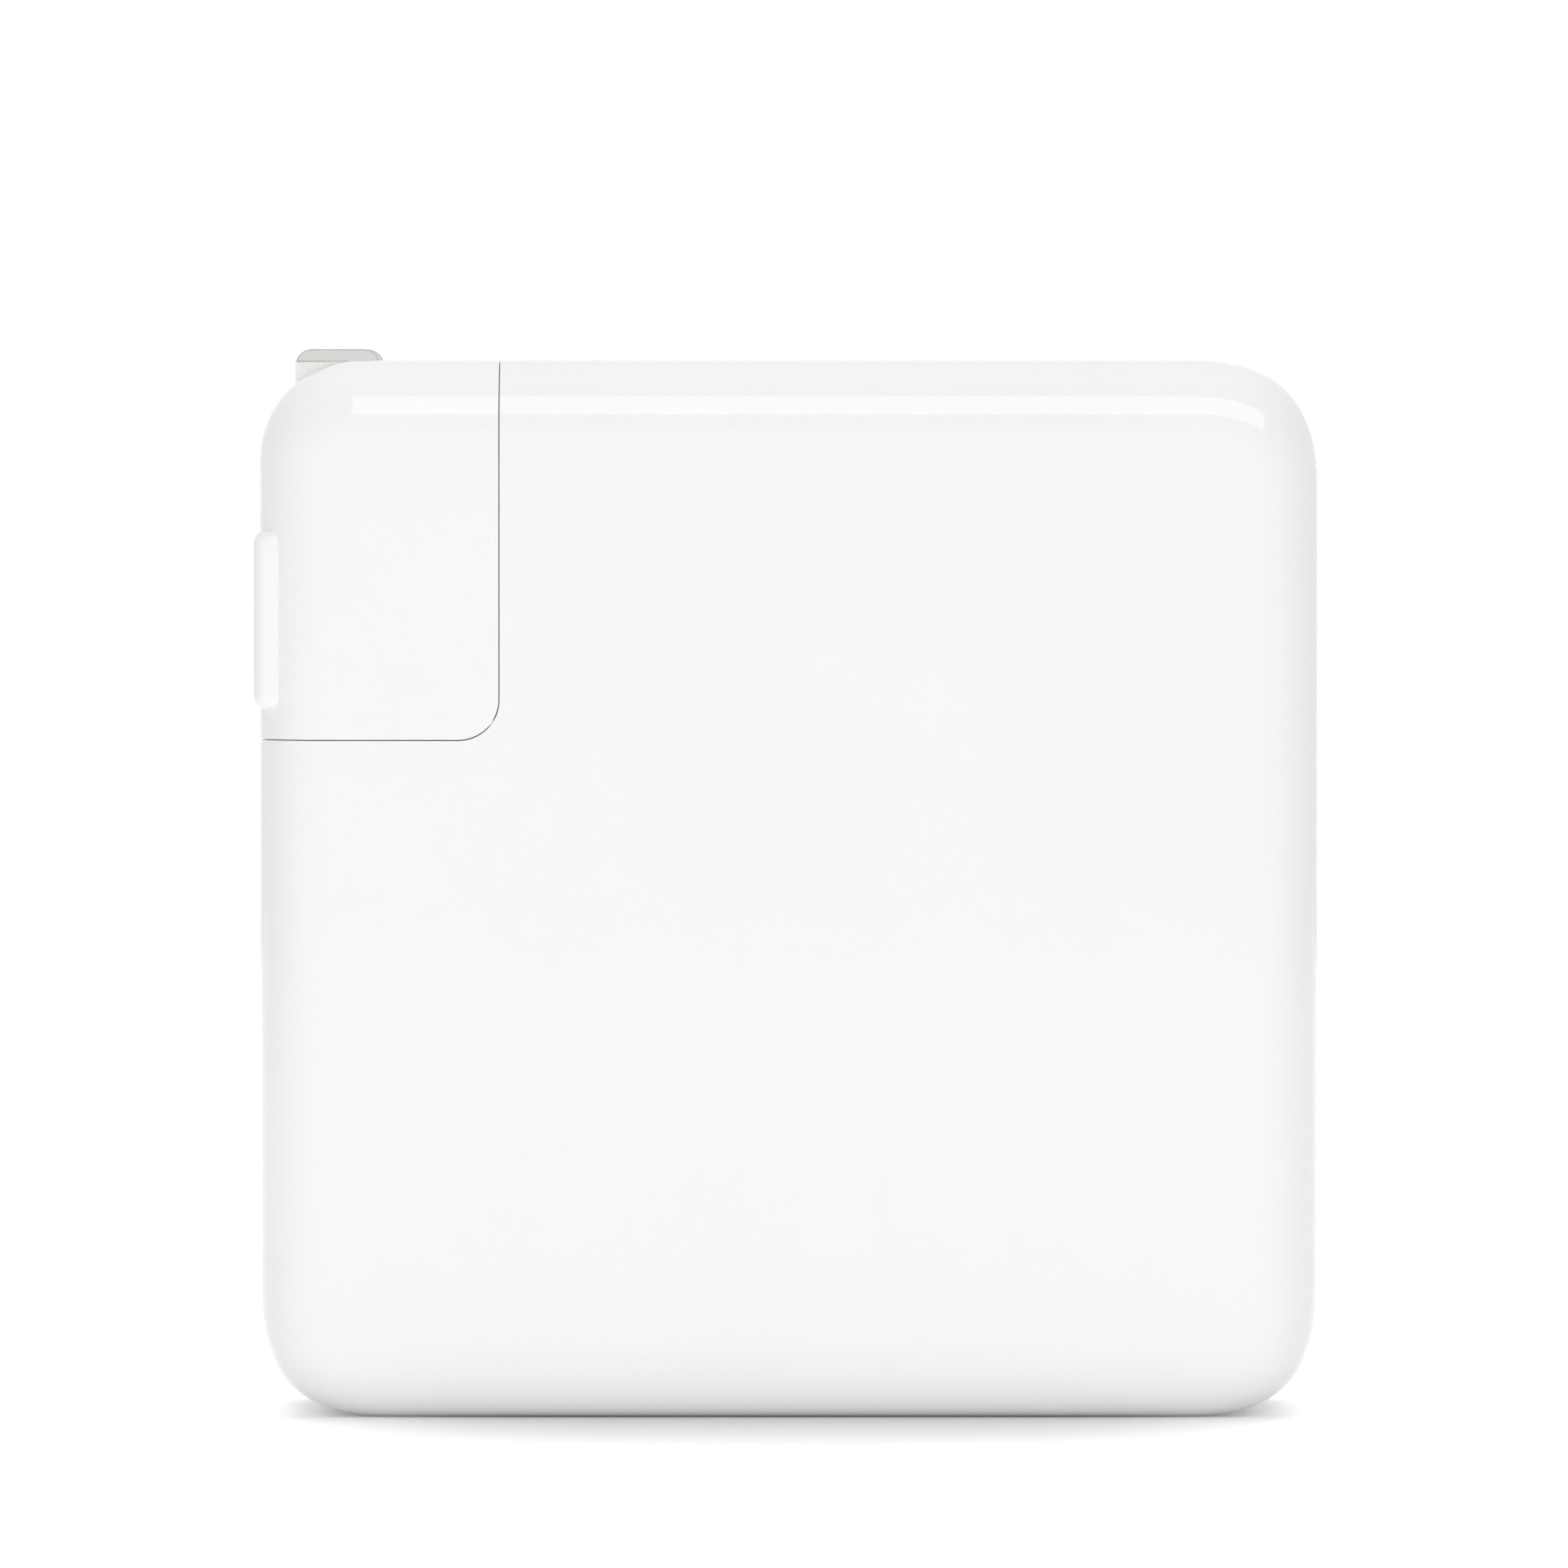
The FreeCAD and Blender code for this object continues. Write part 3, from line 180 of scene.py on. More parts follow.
class FittingSizes(bpy.types.PropertyGroup):
    """Sizes of the earth stud and the inlet's pins."""

    head_thickness: length("Stud head thickness", 1.3, "Thickness of the earth stud's head")
    head_round: length("Stud head rounding", 0.35, "Radius of the earth stud's head edge")
    neck: length("Stud neck", 2.0, "Radius of the earth stud's neck")
    shank: length("Stud shank", 1.5, "Radius of the earth stud's shank")
    hole: length("Stud hole", 1.55, "Radius of the case's hole for the earth stud")
    pin: length("Inlet pin", 1.2, "Radius of each inlet pin")
    pin_round: length("Inlet pin rounding", 0.7, "Radius of each inlet pin's tip")


class Finishes(bpy.types.PropertyGroup):
    """Colours of the finishes."""

    case_white: colour("Case white", (0.94, 0.94, 0.945), "Polished white of the case")
    plug_white: colour("Plug white", (0.945, 0.945, 0.95), "Polished white of the corner plug")
    nickel: colour("Nickel", (0.78, 0.77, 0.745), "Satin nickel of the blades")
    # Painted shade: the tips' darker nickel stands in for the darker reflection of the bevelled
    # tips, not a coined finish.
    shaded_tip_nickel: colour("Tip nickel", (0.40, 0.395, 0.385), "Coined nickel of the blades' tips")
    floor: colour("Floor", (0.96, 0.96, 0.96), "Pale floor")


class Studio(bpy.types.PropertyGroup):
    """Camera and light."""

    view_width: length("View width", 118.71, "Width of the view at the object")
    view_distance: length("View distance", 1200.0, "Distance from the camera to the object")
    view_height: length("View height", 78.0, "Height of the camera above the floor")
    view_middle: length("View middle", 47.93, "Height of the middle of the picture")
    view_side: length("View side", -0.37, "How far the camera stands to the right")
    lamp_distance: length("Lamp distance", 1200.0, "Distance from the lamps to the object")
    top_rise: angle("Top lamp rise", 105, "Angle of the top lamp above the floor in front")
    top_size: length("Top lamp size", 720.0, "Depth of the top lamp")
    top_width: length("Top lamp width", 1400.0, "Width of the top lamp")
    top_light: number("Top lamp brightness", 2.3, "Brightness of the top lamp, where 1 is white")
    fill_rise: angle("Fill lamp rise", 2.9, "Angle of the front lamp above the floor")
    fill_width: length("Fill lamp width", 3200.0, "Width of the front lamp")
    fill_height: length("Fill lamp height", 200.0, "Height of the front lamp")
    fill_light: number(
        "Fill lamp brightness", 4.95, "Brightness of the front lamp, where 1 is white"
    )
    band_rise: angle("Highlight rise", 46, "Angle of the highlight lamp above the floor")
    band_side: length("Highlight lamp side", 455.0, "How far to the right the lamp stands")
    band_width: length("Highlight lamp width", 1210.0, "Width of the highlight lamp")
    band_height: length("Highlight lamp height", 640.0, "Height of the highlight lamp")
    band_light: number(
        "Highlight brightness", 1.9, "Brightness of the highlight lamp, where 1 is white"
    )
    glow_near: length("Glow start", 12.0, "How far in front the floor starts to turn white")
    glow_far: length("Glow end", 90.0, "How far in front the floor is all white")
    glow_width: length(
        "Glow width", 27.0, "Distance beside the middle that counts as much as one in front"
    )
    floor_size: length("Floor size", 1800.0, "Side of the square floor")
    floor_glow: number("Floor glow", 0.6, "White added to the far floor as the camera sees it")
    ambient: colour("Ambient", (0.45, 0.45, 0.455), "Light from all sides")


def sizes():
    """The case's sizes."""
    return bpy.context.scene.adapter_case


def plug_sizes():
    """The corner plug's sizes."""
    return bpy.context.scene.adapter_plug


def fittings():
    """The stud's and the inlet pins' sizes."""
    return bpy.context.scene.adapter_fittings


def finishes():
    """The colours."""
    return bpy.context.scene.adapter_finishes


def studio():
    """The camera's and the lamps' sizes."""
    return bpy.context.scene.adapter_studio


# Modelling helpers


def settle(name):
    """Puts the new object's place into its mesh, names it and returns it."""
    bpy.ops.object.transform_apply(location=True, rotation=True, scale=True)
    piece = bpy.context.object
    piece.name = piece.data.name = name
    return piece


def start_block(name, low, high):
    """Adds a block between two corners."""
    bpy.ops.object.select_all(action="DESELECT")
    low, high = Vector(low), Vector(high)
    bpy.ops.mesh.primitive_cube_add(size=1, location=(low + high) / 2, scale=high - low)
    return settle(name)


def start_rod(name, radius, start, end, steps=64):
    """Adds a round bar from one point to another."""
    bpy.ops.object.select_all(action="DESELECT")
    start, end = Vector(start), Vector(end)
    run = end - start
    bpy.ops.mesh.primitive_cylinder_add(
        vertices=steps,
        radius=radius,
        depth=run.length,
        location=(start + end) / 2,
        rotation=run.to_track_quat("Z", "Y").to_euler(),
    )
    return settle(name)


def only(piece):
    """Selects one piece and makes it active."""
    bpy.ops.object.select_all(action="DESELECT")
    piece.select_set(True)
    bpy.context.view_layer.objects.active = piece


def select_edges(piece, test):
    """Enters edit mode with the edges selected whose ends pass the test."""
    only(piece)
    bpy.ops.object.mode_set(mode="EDIT")
    bpy.ops.mesh.select_mode(type="EDGE")
    bpy.ops.mesh.select_all(action="DESELECT")
    mesh = bmesh.from_edit_mesh(piece.data)
    count = 0
    for edge in mesh.edges:
        if test(edge):
            edge.select_set(True)
            count += 1
    bmesh.update_edit_mesh(piece.data)
    if not count:
        raise RuntimeError(f"no edge to shape on {piece.name}")


def bevel_edges(piece, test, offset, segments, profile=0.5):
    """Rounds the edges that pass the test."""
    select_edges(piece, test)
    bpy.ops.mesh.bevel(
        offset=offset, offset_type="OFFSET", segments=segments, profile=profile, clamp_overlap=False
    )
    bpy.ops.object.mode_set(mode="OBJECT")


def middle_of(edge):
    """The middle of an edge."""
    return (edge.verts[0].co + edge.verts[1].co) / 2


def along(edge, axis):
    """Whether an edge runs along one axis."""
    run = edge.verts[1].co - edge.verts[0].co
    straight = all(abs(run[other]) < ON_LINE for other in range(3) if other != axis)
    return straight and run.length > ON_LINE


def at(edge, axis, value):
    """Whether both ends of an edge lie in a plane across one axis."""
    return all(abs(vertex.co[axis] - value) < ON_PLANE for vertex in edge.verts)


def faces_across(edge, axis):
    """How many of an edge's faces stand square to one axis."""
    return sum(abs(abs(face.normal[axis]) - 1) < SQUARE for face in edge.link_faces)


def combine(piece, other, operation):
    """Cuts, adds or keeps the shape that two pieces share, and deletes the second."""
    only(piece)
    modifier = piece.modifiers.new("Combine", "BOOLEAN")
    modifier.operation = operation
    modifier.solver = "EXACT"
    modifier.object = other
    bpy.ops.object.modifier_apply(modifier=modifier.name)
    only(other)
    bpy.ops.object.delete()
    only(piece)


def make_copy(piece, name):
    """A copy of a piece with a mesh of its own."""
    only(piece)
    bpy.ops.object.duplicate()
    copy = bpy.context.object
    copy.name = copy.data.name = name
    return copy


def copy_beside(piece, name, move):
    """A copy of a piece, moved along y in its mesh."""
    copy = make_copy(piece, name)
    bpy.ops.object.mode_set(mode="EDIT")
    bpy.ops.mesh.select_all(action="SELECT")
    bpy.ops.transform.translate(value=(0, move, 0))
    bpy.ops.object.mode_set(mode="OBJECT")
    return copy


def keep_half(piece, name, side):
    """A copy of the piece on one side of the middle plane, closed where it was cut."""
    half = make_copy(piece, name)
    bpy.ops.object.mode_set(mode="EDIT")
    bpy.ops.mesh.select_all(action="SELECT")
    bpy.ops.mesh.bisect(
        plane_co=(0, 0, 0), plane_no=(0, side, 0), use_fill=True, clear_inner=True, threshold=1e-7
    )
    bpy.ops.object.mode_set(mode="OBJECT")
    return half


def finish_piece(piece, body, material, angle=30):
    """Smooths a piece's roundings, keeps its flat faces flat, and gives it its body and finish."""
    only(piece)
    bpy.ops.object.shade_smooth_by_angle(angle=math.radians(angle))
    flat = piece.modifiers.new("Flat faces", "WEIGHTED_NORMAL")
    flat.keep_sharp = True
    bpy.ops.object.modifier_apply(modifier=flat.name)
    piece.data.materials.clear()
    piece.data.materials.append(material)
    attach(piece, body)


# The case


def notch_corner():
    """Where the case's two notch faces meet, as x and z."""
    reach = (sizes().seam_space + sizes().seam_gap) / 2
    return PLUG_HIGH.x + reach, PLUG_LOW.z - reach


def l_block(name, inset):
    """The case's block with its notch, drawn in by inset all round."""
    margin = Vector((inset, inset, inset))
    block = start_block(name, CASE_LOW + margin, CASE_HIGH - margin)
    x, z = notch_corner()
    far = CASE_HIGH.z
    cutter = start_block("cutter", (-far, -far, z - inset), (x + inset, far, 2 * far))
    combine(block, cutter, "DIFFERENCE")
    return block


def round_case(block):
    """Rounds the corners, the long edges and the notch's border of the case's block."""
    own = sizes()
    x, z = notch_corner()
    steps = own.smoothness
    left, right = CASE_LOW.x, CASE_HIGH.x
    bottom, top = CASE_LOW.z, CASE_HIGH.z

    def outer_corner(edge):
        if not along(edge, 1):
            return False
        place = edge.verts[0].co
        on_side = min(abs(place.x - left), abs(place.x - right)) < ON_LINE
        on_end = min(abs(place.z - bottom), abs(place.z - top)) < ON_LINE
        return on_side and on_end

    def inner_corner(edge):
        return along(edge, 1) and at(edge, 0, x) and at(edge, 2, z)

    bevel_edges(block, outer_corner, own.corner_reach, steps * 2, own.corner_profile)
    bevel_edges(block, inner_corner, own.seam_corner, steps)

    def on_notch(edge):
        radius = own.seam_corner
        middle = middle_of(edge)
        beside = abs(middle.x - x) < ON_LINE and middle.z > z
        below = abs(middle.z - z) < ON_LINE and middle.x < x
        bend = x - radius < middle.x <= x and z <= middle.z < z + radius
        return beside or below or bend

    def rim(edge):
        flat = at(edge, 1, CASE_LOW.y) or at(edge, 1, CASE_HIGH.y)
        return flat and not on_notch(edge)

    def notch_border(edge):
        """Whether just one of the edge's faces belongs to the notch."""
        kinds = {inward_notch(face, x, z) for face in edge.link_faces}
        return on_notch(edge) and len(kinds) == 2

    bevel_edges(block, rim, own.edge_round, steps)
    bevel_edges(block, notch_border, own.seam_round, SEAM_STEPS)


def inward_notch(face, x, z):
    """Whether a face belongs to the notch that the plug fills."""
    radius = sizes().seam_corner
    centre = face.calc_center_median()
    if abs(face.normal.y) > NEARLY_SQUARE:
        return False
    beside = abs(centre.x - x) < ON_LINE and centre.z > z
    below = abs(centre.z - z) < ON_LINE and centre.x < x
    near_bend = x - radius < centre.x < x and z < centre.z < z + radius
    return beside or below or (near_bend and face.normal.x < 0 < face.normal.z)


def rounded_bar(name, low, high, axis, radius, steps):
    """A block with its edges along one axis rounded."""
    bar = start_block(name, low, high)
    bevel_edges(bar, lambda edge: along(edge, axis), radius, steps)
    return bar


def port_bar(grow, x0, x1):
    """The rounded bar of the port's opening."""
    half = (PORT_HIGH.y - PORT_LOW.y) / 2 + grow
    low = Vector((x0, -half, PORT_LOW.z - grow))
    high = Vector((x1, half, PORT_HIGH.z + grow))
    return rounded_bar("port_cutter", low, high, 0, half * FULL_ROUND, sizes().smoothness)


class ADAPTER_OT_case(bpy.types.Operator):
    """Build the two halves of the case"""

    bl_idname = "adapter.case"
    bl_label = "Case"

    def execute(self, context):
        own = sizes()
        x, z = notch_corner()
        case = l_block("case", 0)
        round_case(case)
        inside = l_block("inside", own.wall)
        round_inside(inside)
        combine(case, inside, "DIFFERENCE")
        far = CASE_HIGH.x
        combine(case, port_bar(own.port_gap, PORT_LOW.x, 2 * far), "DIFFERENCE")
        round_port_rim(case)
        combine(case, inlet_window(z), "DIFFERENCE")
        start, end = (x - own.wall, 0, STUD_HEIGHT), (x + 2 * own.wall, 0, STUD_HEIGHT)
        combine(case, start_rod("stud_cutter", fittings().hole, start, end), "DIFFERENCE")
        white = white_plastic("case_white", finishes().case_white)
        for name, side, node in (("case_front", -1, "front_shell"), ("case_rear", 1, "rear_shell")):
            half = keep_half(case, name, side)
            round_parting(half)
            finish_piece(half, "adapter", white)
            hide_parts(node)
        only(case)
        bpy.ops.object.delete()
        return {"FINISHED"}


def round_inside(inside):
    """Rounds the corners of the space inside the case."""
    own = sizes()
    reach = own.corner_reach - own.wall
    bevel_edges(inside, lambda edge: along(edge, 1), reach / 2, own.smoothness // 2)
    chamfer_rims(inside, own.edge_round - own.wall)


def chamfer_rims(inside, reach):
    """Chamfers the front and back rims of a space, to leave the wall its thickness."""
    front = min(vertex.co.y for vertex in inside.data.vertices)
    bevel_edges(
        inside, lambda edge: at(edge, 1, front) or at(edge, 1, -front), reach, FINE_STEPS
    )


def round_port_rim(case):
    """Rounds the outer edge of the port's opening."""
    own = sizes()
    port_middle = (PORT_LOW.z + PORT_HIGH.z) / 2

    def rim(edge):
        middle = middle_of(edge)
        near = max(abs(middle.y), abs(middle.z - port_middle)) < own.port_reach
        return near and at(edge, 0, CASE_HIGH.x) and faces_across(edge, 0) == 1

    bevel_edges(case, rim, own.port_round, PORT_STEPS)


def inlet_window(z):
    """The rounded window that the inlet's collar fills."""
    own = sizes()
    inset = own.inlet_shoulder - own.inlet_gap
    low = Vector((INLET_LOW.x + inset, INLET_LOW.y + inset, z - 2.5 * own.wall))
    high = Vector((INLET_HIGH.x - inset, INLET_HIGH.y - inset, z + own.wall))
    return rounded_bar("inlet_cutter", low, high, 2, (high.x - low.x) / 4, WINDOW_STEPS)


def round_parting(half):
    """Rounds the outer edge where one half of the case meets the other."""
    own = sizes()

    def outside(edge):
        deep = any(inside_wall(vertex.co, own.wall / 2) for vertex in edge.verts)
        return at(edge, 1, 0) and not deep

    bevel_edges(half, outside, own.parting_round, FINE_STEPS)


def inside_wall(place, depth):
    """Whether a point lies deeper than depth inside the case's outline or under its notch."""
    x, z = notch_corner()
    left, right = CASE_LOW.x + depth, CASE_HIGH.x - depth
    bottom, top = CASE_LOW.z + depth, CASE_HIGH.z - depth
    if not (left < place.x < right and bottom < place.z < top):
        return False
    if place.x < x + depth and place.z > z - depth:
        return False
    radius = sizes().corner_circle
    for corner_x in (CASE_LOW.x + radius, CASE_HIGH.x - radius):
        for corner_z in (CASE_LOW.z + radius, CASE_HIGH.z - radius):
            beyond_x = (place.x - corner_x) * (1 if corner_x > 0 else -1)
            beyond_z = (place.z - corner_z) * (1 if corner_z > CASE_HIGH.z / 2 else -1)
            if beyond_x > 0 and beyond_z > 0:
                return math.hypot(beyond_x, beyond_z) < radius - depth
    return True


# The corner plug


def plug_corner_block(name, low, high, corner, seam_corner, steps):
    """A block with the plug's outer corner and its seam corner rounded."""
    block = start_block(name, low, high)

    def outer_corner(edge):
        return along(edge, 1) and at(edge, 0, low.x) and at(edge, 2, high.z)

    def inner_corner(edge):
        return along(edge, 1) and at(edge, 0, high.x) and at(edge, 2, low.z)

    bevel_edges(block, outer_corner, corner, steps * 2)
    if seam_corner:
        bevel_edges(block, inner_corner, seam_corner, steps)
    return block


def blade_places():
    """The two blades' places across the plug."""
    middle = (BLADE_LOW.y + BLADE_HIGH.y) / 2
    return (middle, -middle)


class ADAPTER_OT_plug(bpy.types.Operator):
    """Build the outer shell of the corner plug"""

    bl_idname = "adapter.plug"
    bl_label = "Corner plug"

    def execute(self, context):
        own = sizes()
        plug = plug_sizes()
        steps = own.smoothness
        reach = (own.seam_space - own.seam_gap) / 2
        low = Vector((CASE_LOW.x, CASE_LOW.y, PLUG_LOW.z - reach))
        high = Vector((PLUG_HIGH.x + reach, CASE_HIGH.y, CASE_HIGH.z))
        seam_corner = own.seam_corner - own.seam_gap / 2
        shell = plug_corner_block("plug_shell", low, high, plug.corner, seam_corner, steps)

        def on_seam(place):
            beside = abs(place.x - high.x) < ON_PLANE
            below = abs(place.z - low.z) < ON_PLANE
            bend = place.x > high.x - seam_corner and place.z < low.z + seam_corner
            return beside or below or bend

        def rim(edge):
            flat = at(edge, 1, low.y) or at(edge, 1, high.y)
            return flat and not on_seam(middle_of(edge))

        def seam_face(face):
            return abs(face.normal.y) < NEARLY_SQUARE and on_seam(face.calc_center_median())

        def seam_rim(edge):
            return sum(seam_face(face) for face in edge.link_faces) == 1

        bevel_edges(shell, rim, own.edge_round, steps)
        bevel_edges(shell, seam_rim, own.seam_round, SEAM_STEPS)
        wall = Vector((plug.wall, plug.wall, plug.wall))
        inside = plug_corner_block(
            "inside",
            Vector((low.x, low.y, low.z - high.z)) + wall,
            Vector((0, high.y, high.z)) - wall,
            plug.corner - plug.wall,
            0,
            steps // 2,
        )
        chamfer_rims(inside, own.edge_round - plug.wall)
        combine(shell, inside, "DIFFERENCE")
        for y in blade_places():
            combine(shell, slot_walls(y), "UNION")
        combine(shell, make_pad(), "UNION")
        for y in blade_places():
            combine(shell, slot_cutter(y), "DIFFERENCE")
        round_slots(shell)
        white = white_plastic("plug_white", finishes().plug_white)
        finish_piece(shell, "plug", white)
        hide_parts("plug_housing")
        return {"FINISHED"}


def slot_walls(y):
    """The block inside the plug that one blade's slot is cut into."""
    plug = plug_sizes()
    half = plug.slot_width / 2 + plug.slot_wall
    left, top = CASE_LOW.x + plug.wall / 2, CASE_HIGH.z - plug.wall / 2
    right = BLADE_HIGH.x + plug.slot_end_wall
    block = start_block("slot_walls", (left, y - half, HUB_HIGH.z), (right, y + half, top))

    def outer_corner(edge):
        return along(edge, 1) and at(edge, 0, left) and at(edge, 2, top)

    bevel_edges(block, outer_corner, plug.corner - plug.wall / 2, sizes().smoothness)
    return block


def make_pad():
    """The raised pad that the blades swing out of, with softly rounded edges."""
    plug = plug_sizes()
    middle = pad_middle()
    half = plug.pad_width / 2
    low = Vector((PLUG_LOW.x, -half, middle - plug.pad_height / 2))
    high = Vector((CASE_LOW.x + plug.wall, half, middle + plug.pad_height / 2))
    pad = start_block("pad", low, high)
    bevel_edges(
        pad,
        lambda edge: along(edge, 0) or at(edge, 0, low.x),
        plug.pad_round,
        sizes().smoothness // 2,
    )
    return pad


def pad_middle():
    """Height of the pad's middle, where the blades come out."""
    blade_middle = BLADE_HIGH.x - plug_sizes().blade_width / 2
    return HUB_MIDDLE.z + blade_middle - HUB_MIDDLE.x


def slot_cutter(y):
    """The bar that cuts one blade's slot."""
    plug = plug_sizes()
    gap = plug.slot_gap
    bottom = HUB_MIDDLE.z + BLADE_HIGH.x - HUB_MIDDLE.x - plug.blade_width - gap
    half = plug.slot_width / 2
    far = CASE_HIGH.z
    return start_block(
        "slot", (-far, y - half, bottom), (BLADE_HIGH.x + gap, y + half, far + 4 * plug.slot_width)
    )


def round_slots(shell):
    """Rounds the slots' edges on the plug's outside."""
    plug = plug_sizes()
    half = plug.slot_width / 2

    def edge_of_slot(edge):
        on_slot = any(at(edge, 1, y + side * half) for y in blade_places() for side in (-1, 1))
        if not on_slot or not outside_plug(middle_of(edge)):
            return False
        return len(edge.link_faces) == 2 and faces_across(edge, 1) == 1

    bevel_edges(shell, edge_of_slot, plug.slot_round, SLOT_STEPS)


def outside_plug(place):
    """Whether a point lies on the plug's outer surface."""
    corner = plug_sizes().corner
    left, top = CASE_LOW.x, CASE_HIGH.z
    if place.x < left + corner and place.z > top - corner:
        return math.hypot(place.x - left - corner, place.z - top + corner) > corner - ON_SURFACE
    return place.x < left + ON_SURFACE or place.z > top - ON_SURFACE


# The blades


class ADAPTER_OT_blades(bpy.types.Operator):
    """Build the two flat blades"""

    bl_idname = "adapter.blades"
    bl_label = "Blades"

    def execute(self, context):
        front_y, rear_y = blade_places()
        front = make_blade("front_blade_strip", front_y)
        rear = copy_beside(front, "rear_blade_strip", rear_y - front_y)
        for blade, node in ((front, "front_blade"), (rear, "rear_blade")):
            finish_piece(blade, "prongs", satin_nickel(), angle=20)
            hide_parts(node)
        return {"FINISHED"}


def make_blade(name, y):
    """A flat blade with a bevelled tip, a round eye at the pivot and the hub's key cut out."""
    plug = plug_sizes()
    pivot = HUB_MIDDLE
    radius = (HUB_HIGH.x - HUB_LOW.x) / 2
    half = (BLADE_HIGH.y - BLADE_LOW.y) / 2
    low = Vector((BLADE_HIGH.x - plug.blade_width, y - half, pivot.z + radius / 2))
    high = Vector((BLADE_HIGH.x, y + half, BLADE_HIGH.z))
    blade = start_block(name, low, high)
    bevel_edges(
        blade, lambda edge: along(edge, 1) and at(edge, 2, high.z), plug.tip_round, TIP_STEPS
    )
    bevel_tip(blade, low, high)
    eye = start_rod("eye", radius, (pivot.x, y - half, pivot.z), (pivot.x, y + half, pivot.z))
    combine(blade, eye, "UNION")
    key = start_block(
        "key",
        (pivot.x - radius / 2, y - 2 * half, pivot.z - radius / 2),
        (pivot.x + radius / 2, y + 2 * half, pivot.z + radius / 2),
    )
    combine(blade, key, "DIFFERENCE")
    return blade


def bevel_tip(blade, low, high):
    """Bevels the tip on both faces and breaks the strip's other edges."""
    plug = plug_sizes()
    only(blade)
    bpy.ops.object.mode_set(mode="EDIT")
    for side in (-1, 1):
        bpy.ops.mesh.select_all(action="SELECT")
        face_y = high.y if side > 0 else low.y
        point = (0, face_y, high.z - plug.tip_bevel)
        normal = Vector((0, side * plug.tip_bevel, plug.tip_depth)).normalized()
        bpy.ops.mesh.bisect(
            plane_co=point, plane_no=normal, use_fill=True, clear_outer=True, threshold=1e-8
        )
    bpy.ops.object.mode_set(mode="OBJECT")

    def sharp(edge):
        if len(edge.link_faces) != 2:
            return False
        turn = edge.link_faces[0].normal.angle(edge.link_faces[1].normal)
        return turn > SHARP_TURN and not at(edge, 2, low.z)

    bevel_edges(blade, sharp, plug.blade_edge, FINE_STEPS)


# The earth stud and the inlet's pins


def round_end(rod, axis, value, radius, steps=END_STEPS):
    """Rounds the rim of a rod's end in the plane across one axis."""
    bevel_edges(rod, lambda edge: at(edge, axis, value), radius, steps)


class ADAPTER_OT_stud(bpy.types.Operator):
    """Build the metal stud that the plug slides onto"""

    bl_idname = "adapter.stud"
    bl_label = "Earth stud"

    def execute(self, context):
        own = fittings()
        radius = (STUD_HIGH.z - STUD_LOW.z) / 2
        face, back, end = STUD_LOW.x, STUD_LOW.x + own.head_thickness, STUD_HIGH.x
        wall = PLUG_HIGH.x + sizes().seam_space

        def bar(name, radius, start, finish, steps=64):
            return start_rod(name, radius, (start, 0, STUD_HEIGHT), (finish, 0, STUD_HEIGHT), steps)

        stud = bar("stud", radius, face, back, HEAD_STEPS)
        round_end(stud, 0, face, own.head_round)
        round_end(stud, 0, back, own.head_round / 2)
        combine(stud, bar("neck", own.neck, back - own.head_round, wall), "UNION")
        shank = bar("shank", own.shank, wall - own.head_round, end)
        round_end(shank, 0, end, own.head_round / 2)
        combine(stud, shank, "UNION")
        finish_piece(stud, "adapter", stud_steel())
        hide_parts("ground_stud")
        return {"FINISHED"}


class ADAPTER_OT_pins(bpy.types.Operator):
    """Build the two round pins of the mains inlet"""

    bl_idname = "adapter.pins"
    bl_label = "Inlet pins"

    def execute(self, context):
        own = fittings()
        x, y = (PIN_LOW.x + PIN_HIGH.x) / 2, PIN_LOW.y + own.pin
        front = start_rod("inlet_pin_pair", own.pin, (x, y, PIN_LOW.z), (x, y, PIN_HIGH.z))
        round_end(front, 2, PIN_HIGH.z, own.pin_round, PIN_STEPS)
        round_end(front, 2, PIN_LOW.z, own.pin_round / 3)
        rear = copy_beside(front, "rear_pin", -2 * y)
        only(front)
        rear.select_set(True)
        bpy.ops.object.join()
        finish_piece(front, "adapter", pin_nickel())
        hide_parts("inlet_pins")
        return {"FINISHED"}


# Materials


def add_node(tree, kind, inputs=None, **settings):
    """Adds a shader node with its settings and its inputs' values."""
    node = tree.nodes.new(kind)
    for key, value in settings.items():
        setattr(node, key, value)
    for key, value in (inputs or {}).items():
        node.inputs[key].default_value = value
    return node


def made_before(name):
    """The finish of this name, if it was made already."""
    return bpy.data.materials.get(f"{name}_finish")


def start_material(name):
    """A new material with its shader, and where its pattern's coordinates come from."""
    material = bpy.data.materials.new(f"{name}_finish")
    material.use_nodes = True
    tree = material.node_tree
    shader = tree.nodes["Principled BSDF"]
    place = add_node(tree, "ShaderNodeTexCoord")
    return material, tree, shader, place.outputs["Object"]


def grain(tree, place, scale, detail=3.0, stretch=None):
    """Noise over the object's own coordinates, stretched along an axis where asked."""
    noise = add_node(tree, "ShaderNodeTexNoise", {"Scale": scale, "Detail": detail})
    if stretch:
        mapping = add_node(tree, "ShaderNodeMapping", {"Scale": stretch})
        tree.links.new(place, mapping.inputs["Vector"])
        place = mapping.outputs["Vector"]
    tree.links.new(place, noise.inputs["Vector"])
    return noise.outputs["Fac"]


def pattern_colour(tree, value, dark, light):
    """The colour between two colours that a pattern's value picks."""
    ramp = add_node(tree, "ShaderNodeValToRGB")
    for element, end, shade in zip(ramp.color_ramp.elements, PATTERN_ENDS, (dark, light)):
        element.position = end
        element.color = (*shade, 1)
    tree.links.new(value, ramp.inputs["Fac"])
    return ramp.outputs["Color"]


def shades(value, factors):
    """A colour made darker and lighter."""
    return [tuple(min(1.0, channel * factor) for channel in value) for factor in factors]


def tint(tree, shader, value, dark, light):
    """Colours the shader between two colours by a value."""
    tree.links.new(pattern_colour(tree, value, dark, light), shader.inputs["Base Color"])


